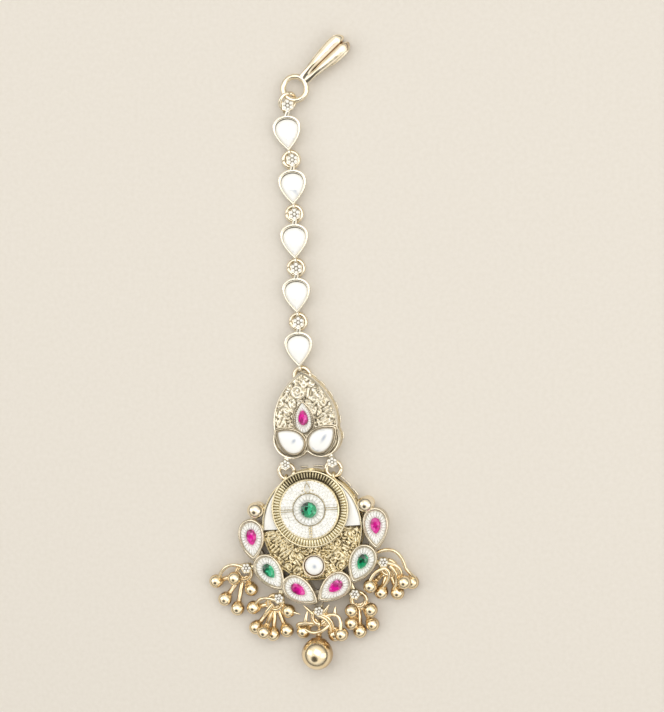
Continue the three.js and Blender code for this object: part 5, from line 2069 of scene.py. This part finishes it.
CLUSTERS = (
    BeadCluster(
        1,
        (
            (-23.0, -15.3, 1.6),
            (-18.4, -14.6, 3.3),
            (-15.1, -17.5, 1.6),
            (-21.3, -19.4, 1.6),
            (-18.6, -21.7, 1.6),
        ),
        (((-16.6, -12.2, 3.0), (-20.0, -10.4, 3.8), (-22.2, -14.4, 2.2)),),
    ),
    BeadCluster(
        2,
        (
            (-15.0, -21.6, 1.6), (-14.8, -26.1, 1.6), (-12.6, -26.9, 3.7),
            (-11.0, -27.8, 1.6), (-7.8, -27.1, 1.6), (-6.9, -22.6, 2.6),
        ),
        (((-9.8, -19.9, 3.2), (-12.8, -18.6, 3.8), (-14.3, -20.8, 2.4)),),
        (((-7.4, -22.4, 2.9), (-4.1, -23.4, 3.2)), ((-10.2, -20.8, 2.8), (-12.9, -23.6, 2.6))),
    ),
    BeadCluster(
        3,
        ((-4.1, -27.5, 1.6), (2.9, -28.5, 1.6), (4.8, -28.1, 3.9)),
        (
            ((-4.9, -26.5, 2.4), (-5.9, -24.9, 3.6), (-1.4, -25.5, 3.6)),
            ((-3.4, -26.8, 2.6), (-0.6, -28.6, 4.6), (2.1, -26.0, 3.5)),
            ((1.6, -24.0, 3.4), (5.6, -22.6, 4.3), (4.75, -27.0, 4.6)),
            ((0.1, -23.9, 3.6), (2.4, -24.6, 4.2), (2.4, -27.4, 3.0)),
            ((0.7, -23.7, 3.4), (3.1, -24.4, 4.0), (3.0, -27.2, 2.8)),
        ),
        (
            ((-3.3, -25.4, 3.4), (-2.5, -22.6, 3.4)),
            ((-1.5, -23.4, 3.1), (-3.3, -21.3, 3.6)),
            ((3.6, -23.8, 3.8), (3.9, -21.9, 3.8)),
            ((1.0, -23.6, 3.1), (2.5, -21.4, 3.6)),
        ),
    ),
    BeadCluster(
        4,
        (
            (7.4, -23.0, 3.6),
            (11.6, -23.1, 3.0),
            (7.0, -25.9, 2.6),
            (8.6, -28.0, 1.6),
            (11.5, -26.6, 1.6),
        ),
    ),
    BeadCluster(
        5,
        (
            (11.9, -17.8, 3.4),
            (14.0, -19.6, 1.6),
            (17.6, -19.9, 1.6),
            (19.6, -17.2, 4.2),
            (21.0, -17.7, 1.6),
        ),
        (
            ((14.2, -10.4, 3.2), (19.2, -8.6, 4.6), (20.0, -14.0, 3.9)),
            ((20.0, -14.0, 3.9), (20.8, -15.4, 3.6), (21.7, -16.6, 2.2)),
            ((15.5, -14.0, 3.6), (17.6, -15.3, 4.2), (14.5, -18.4, 2.3)),
            ((16.7, -13.6, 3.6), (19.0, -15.6, 4.2), (17.0, -18.8, 2.3)),
            ((16.4, -13.0, 3.2), (19.7, -13.6, 4.2), (18.8, -16.4, 3.4)),
            ((12.1, -16.5, 3.9), (13.2, -14.2, 3.9), (15.5, -14.1, 3.6)),
        ),
    ),
)


@dataclass(frozen=True)
class DropBall:
    """The large ball that hangs under the middle floret, with a brown cap, a neck and its eye."""

    x: float = -1.0
    y: float = -32.3
    radius: float = 3.5

    def build(self, place: Place, ring_centre: Array) -> None:
        """Adds the ball, held by a jump ring.

        Args:
            place: the pendant's place.
            ring_centre: the middle of the ring that carries it, in the pendant's frame.
        """
        middle = np.array([self.x, self.y, self.radius])
        flat = (middle - ring_centre) * (1, 1, 0)
        flat /= np.linalg.norm(flat)
        eye = ring_centre + flat * RING_RADIUS
        start = eye + flat * (LUG_RADIUS + 0.1)
        reach = float(np.linalg.norm(start - middle))
        radius = self.radius
        cap = [  # across and height as shares of the radius, depth
            (0.5, 0.87, 0.9), (0.53, 0.885, 0.5), (0.46, 0.95, 0.75),
            (0.32, 1.01, 0.85), (0.2, 1.05, 1.0), (0.24, 1.1, 0.3),
            (0.18, 1.15, 0.6),
        ]
        shown = [(a * radius, h * radius, d) for a, h, d in cap if h * radius < reach - 0.15]
        body = spun([*ball_rows(radius, -86, 58, 28), *shown, (0.45, reach, 0.4)], radius, 56)
        body = with_painted_underside_reflection(body.turned_by(drop_frame(middle, start)).moved(middle), middle, radius)
        turn = math.degrees(math.atan2(flat[0], -flat[1]))
        whole = join(body, lug(Place(eye[0], eye[1], turn)))
        add_piece("drop_ball_polished", whole.at(place), BURNISHED, ["drop_ball"])


# ---------- the studio ----------


@dataclass(frozen=True)
class SoftBox:
    """A soft light with a rectangular face, turned to the middle of the ornament."""

    name: str
    spot: Triple
    size: Pair
    watts: float

    def build(self) -> None:
        """Adds the light, turned to the middle of the ornament."""
        data = bpy.data.lights.new(self.name, "AREA")
        data.shape = "RECTANGLE"
        data.size, data.size_y = (side * MM for side in self.size)
        data.energy = self.watts
        made = put(self.name, data)
        made.location = Vector(self.spot) * MM
        made.rotation_euler = (-made.location).to_track_quat("-Z", "Y").to_euler()


@dataclass(frozen=True)
class Studio:
    """A pale floor, soft boxes overhead and the camera, which looks down a little from the right."""

    floor_size: float = 1600.0
    floor_gap: float = 0.02
    boxes: tuple[SoftBox, ...] = (
        SoftBox("soft_box_top", (60, 120, 420), (420, 300), 0.5),
        SoftBox("soft_box_right", (330, -80, 240), (220, 320), 0.2),
        SoftBox("soft_box_left", (-320, 40, 260), (220, 320), 0.2),
    )
    camera_spot: Triple = (80.2319, 27.0205, 450.0)
    camera_turn: Triple = (-0.0600846, 0.1674705, 0.0043256)
    sensor: float = 36.0
    lens: float = 104.90056
    dark_way: Triple = (-0.21, -0.46, 0.86)
    air: str = "#fbf9f4"

    def floor(self) -> None:
        """Adds the floor, a flat sheet just under the ornament."""
        side = np.linspace(-0.5, 0.5, 9) * self.floor_size
        points = lifted(np.stack(np.meshgrid(side, side, indexing="ij"), -1), -self.floor_gap)
        shell = skin(points, 0.0, wrap_columns=False)
        mesh = bpy.data.meshes.new("floor_sheet")
        mesh.from_pydata((shell.points * MM).tolist(), [], shell.faces.tolist())
        mesh.materials.append(CARD.material())
        made = put("floor_sheet", mesh)

    def camera(self) -> None:
        """Adds the camera, with no shift and no depth of field."""
        data = bpy.data.cameras.new("camera")
        data.sensor_width = self.sensor
        data.lens = self.lens
        data.clip_start, data.clip_end = 0.01, 10.0
        made = put("camera", data)
        turn = Vector(self.camera_turn)
        made.rotation_mode = "QUATERNION"
        made.rotation_quaternion = Quaternion(turn.normalized(), turn.length)
        made.location = Vector(self.camera_spot) * MM
        bpy.context.scene.camera = made

    def world(self) -> None:
        """Sets a white room that is brightest overhead and dim at the horizon, with one dark patch, the
        viewer's own shadow on the ceiling, and plain display colours."""
        world = bpy.data.worlds.new("white_room")
        world.use_nodes = True
        tree = world.node_tree
        way = tree.nodes.new("ShaderNodeTexCoord").outputs["Generated"]
        wiring = Wiring(tree, tree.nodes["Background"], way)
        height = wiring.add("SeparateXYZ", {0: way}, "Z")
        overhead = wiring.ramp(height, (0.05, 0.6), (0.14, 1.1), eased=True)
        spot = Vector(self.dark_way).normalized()
        toward = wiring.add("VectorMath", {0: way, 1: spot}, "Value", operation="DOT_PRODUCT")
        patch = wiring.ramp(toward, (0.88, 0.955), (1.0, 0.1), eased=True)
        light = wiring.maths("MULTIPLY", overhead, patch)
        wiring.feed({"Color": colour(self.air), "Strength": light})
        bpy.context.scene.world = world
        bpy.context.scene.view_settings.view_transform = "Standard"

    def build(self) -> None:
        """Adds the floor, the lights, the world and the camera."""
        self.floor()
        self.world()
        for box in self.boxes:
            box.build()
        self.camera()


# ---------- the whole ornament ----------


def main() -> None:
    """Builds the ornament from the hook down, then the studio."""
    pendant_place = Place(0, 0, 4.4)
    motif = Motif(Place(-1.3, 20.45, 4.4))
    pendant = Pendant(pendant_place)
    chain, hook = Chain(), HairHook()
    hook.build(chain.hook_eye(hook.eye_radius, hook.eye_wire))
    chain.build()
    ring_between("motif_ring", chain.lug_pairs()[-1][0], motif.place.point(0, motif.lug_y))
    motif.build()
    for side, name in SIDES.items():
        upper = motif.place.point(side * motif.floret_x, motif.floret_y)
        lower = pendant_place.point(side * pendant.lug_x, pendant.lug_y)
        ring_between(f"connector_ring_{name}", upper, lower)
    pendant.build()
    for cluster in CLUSTERS:
        cluster.build(pendant_place)
    DropBall().build(pendant_place, CLUSTERS[2].ring_centre())
    Studio().build()


if __name__ == "__main__":
    main()
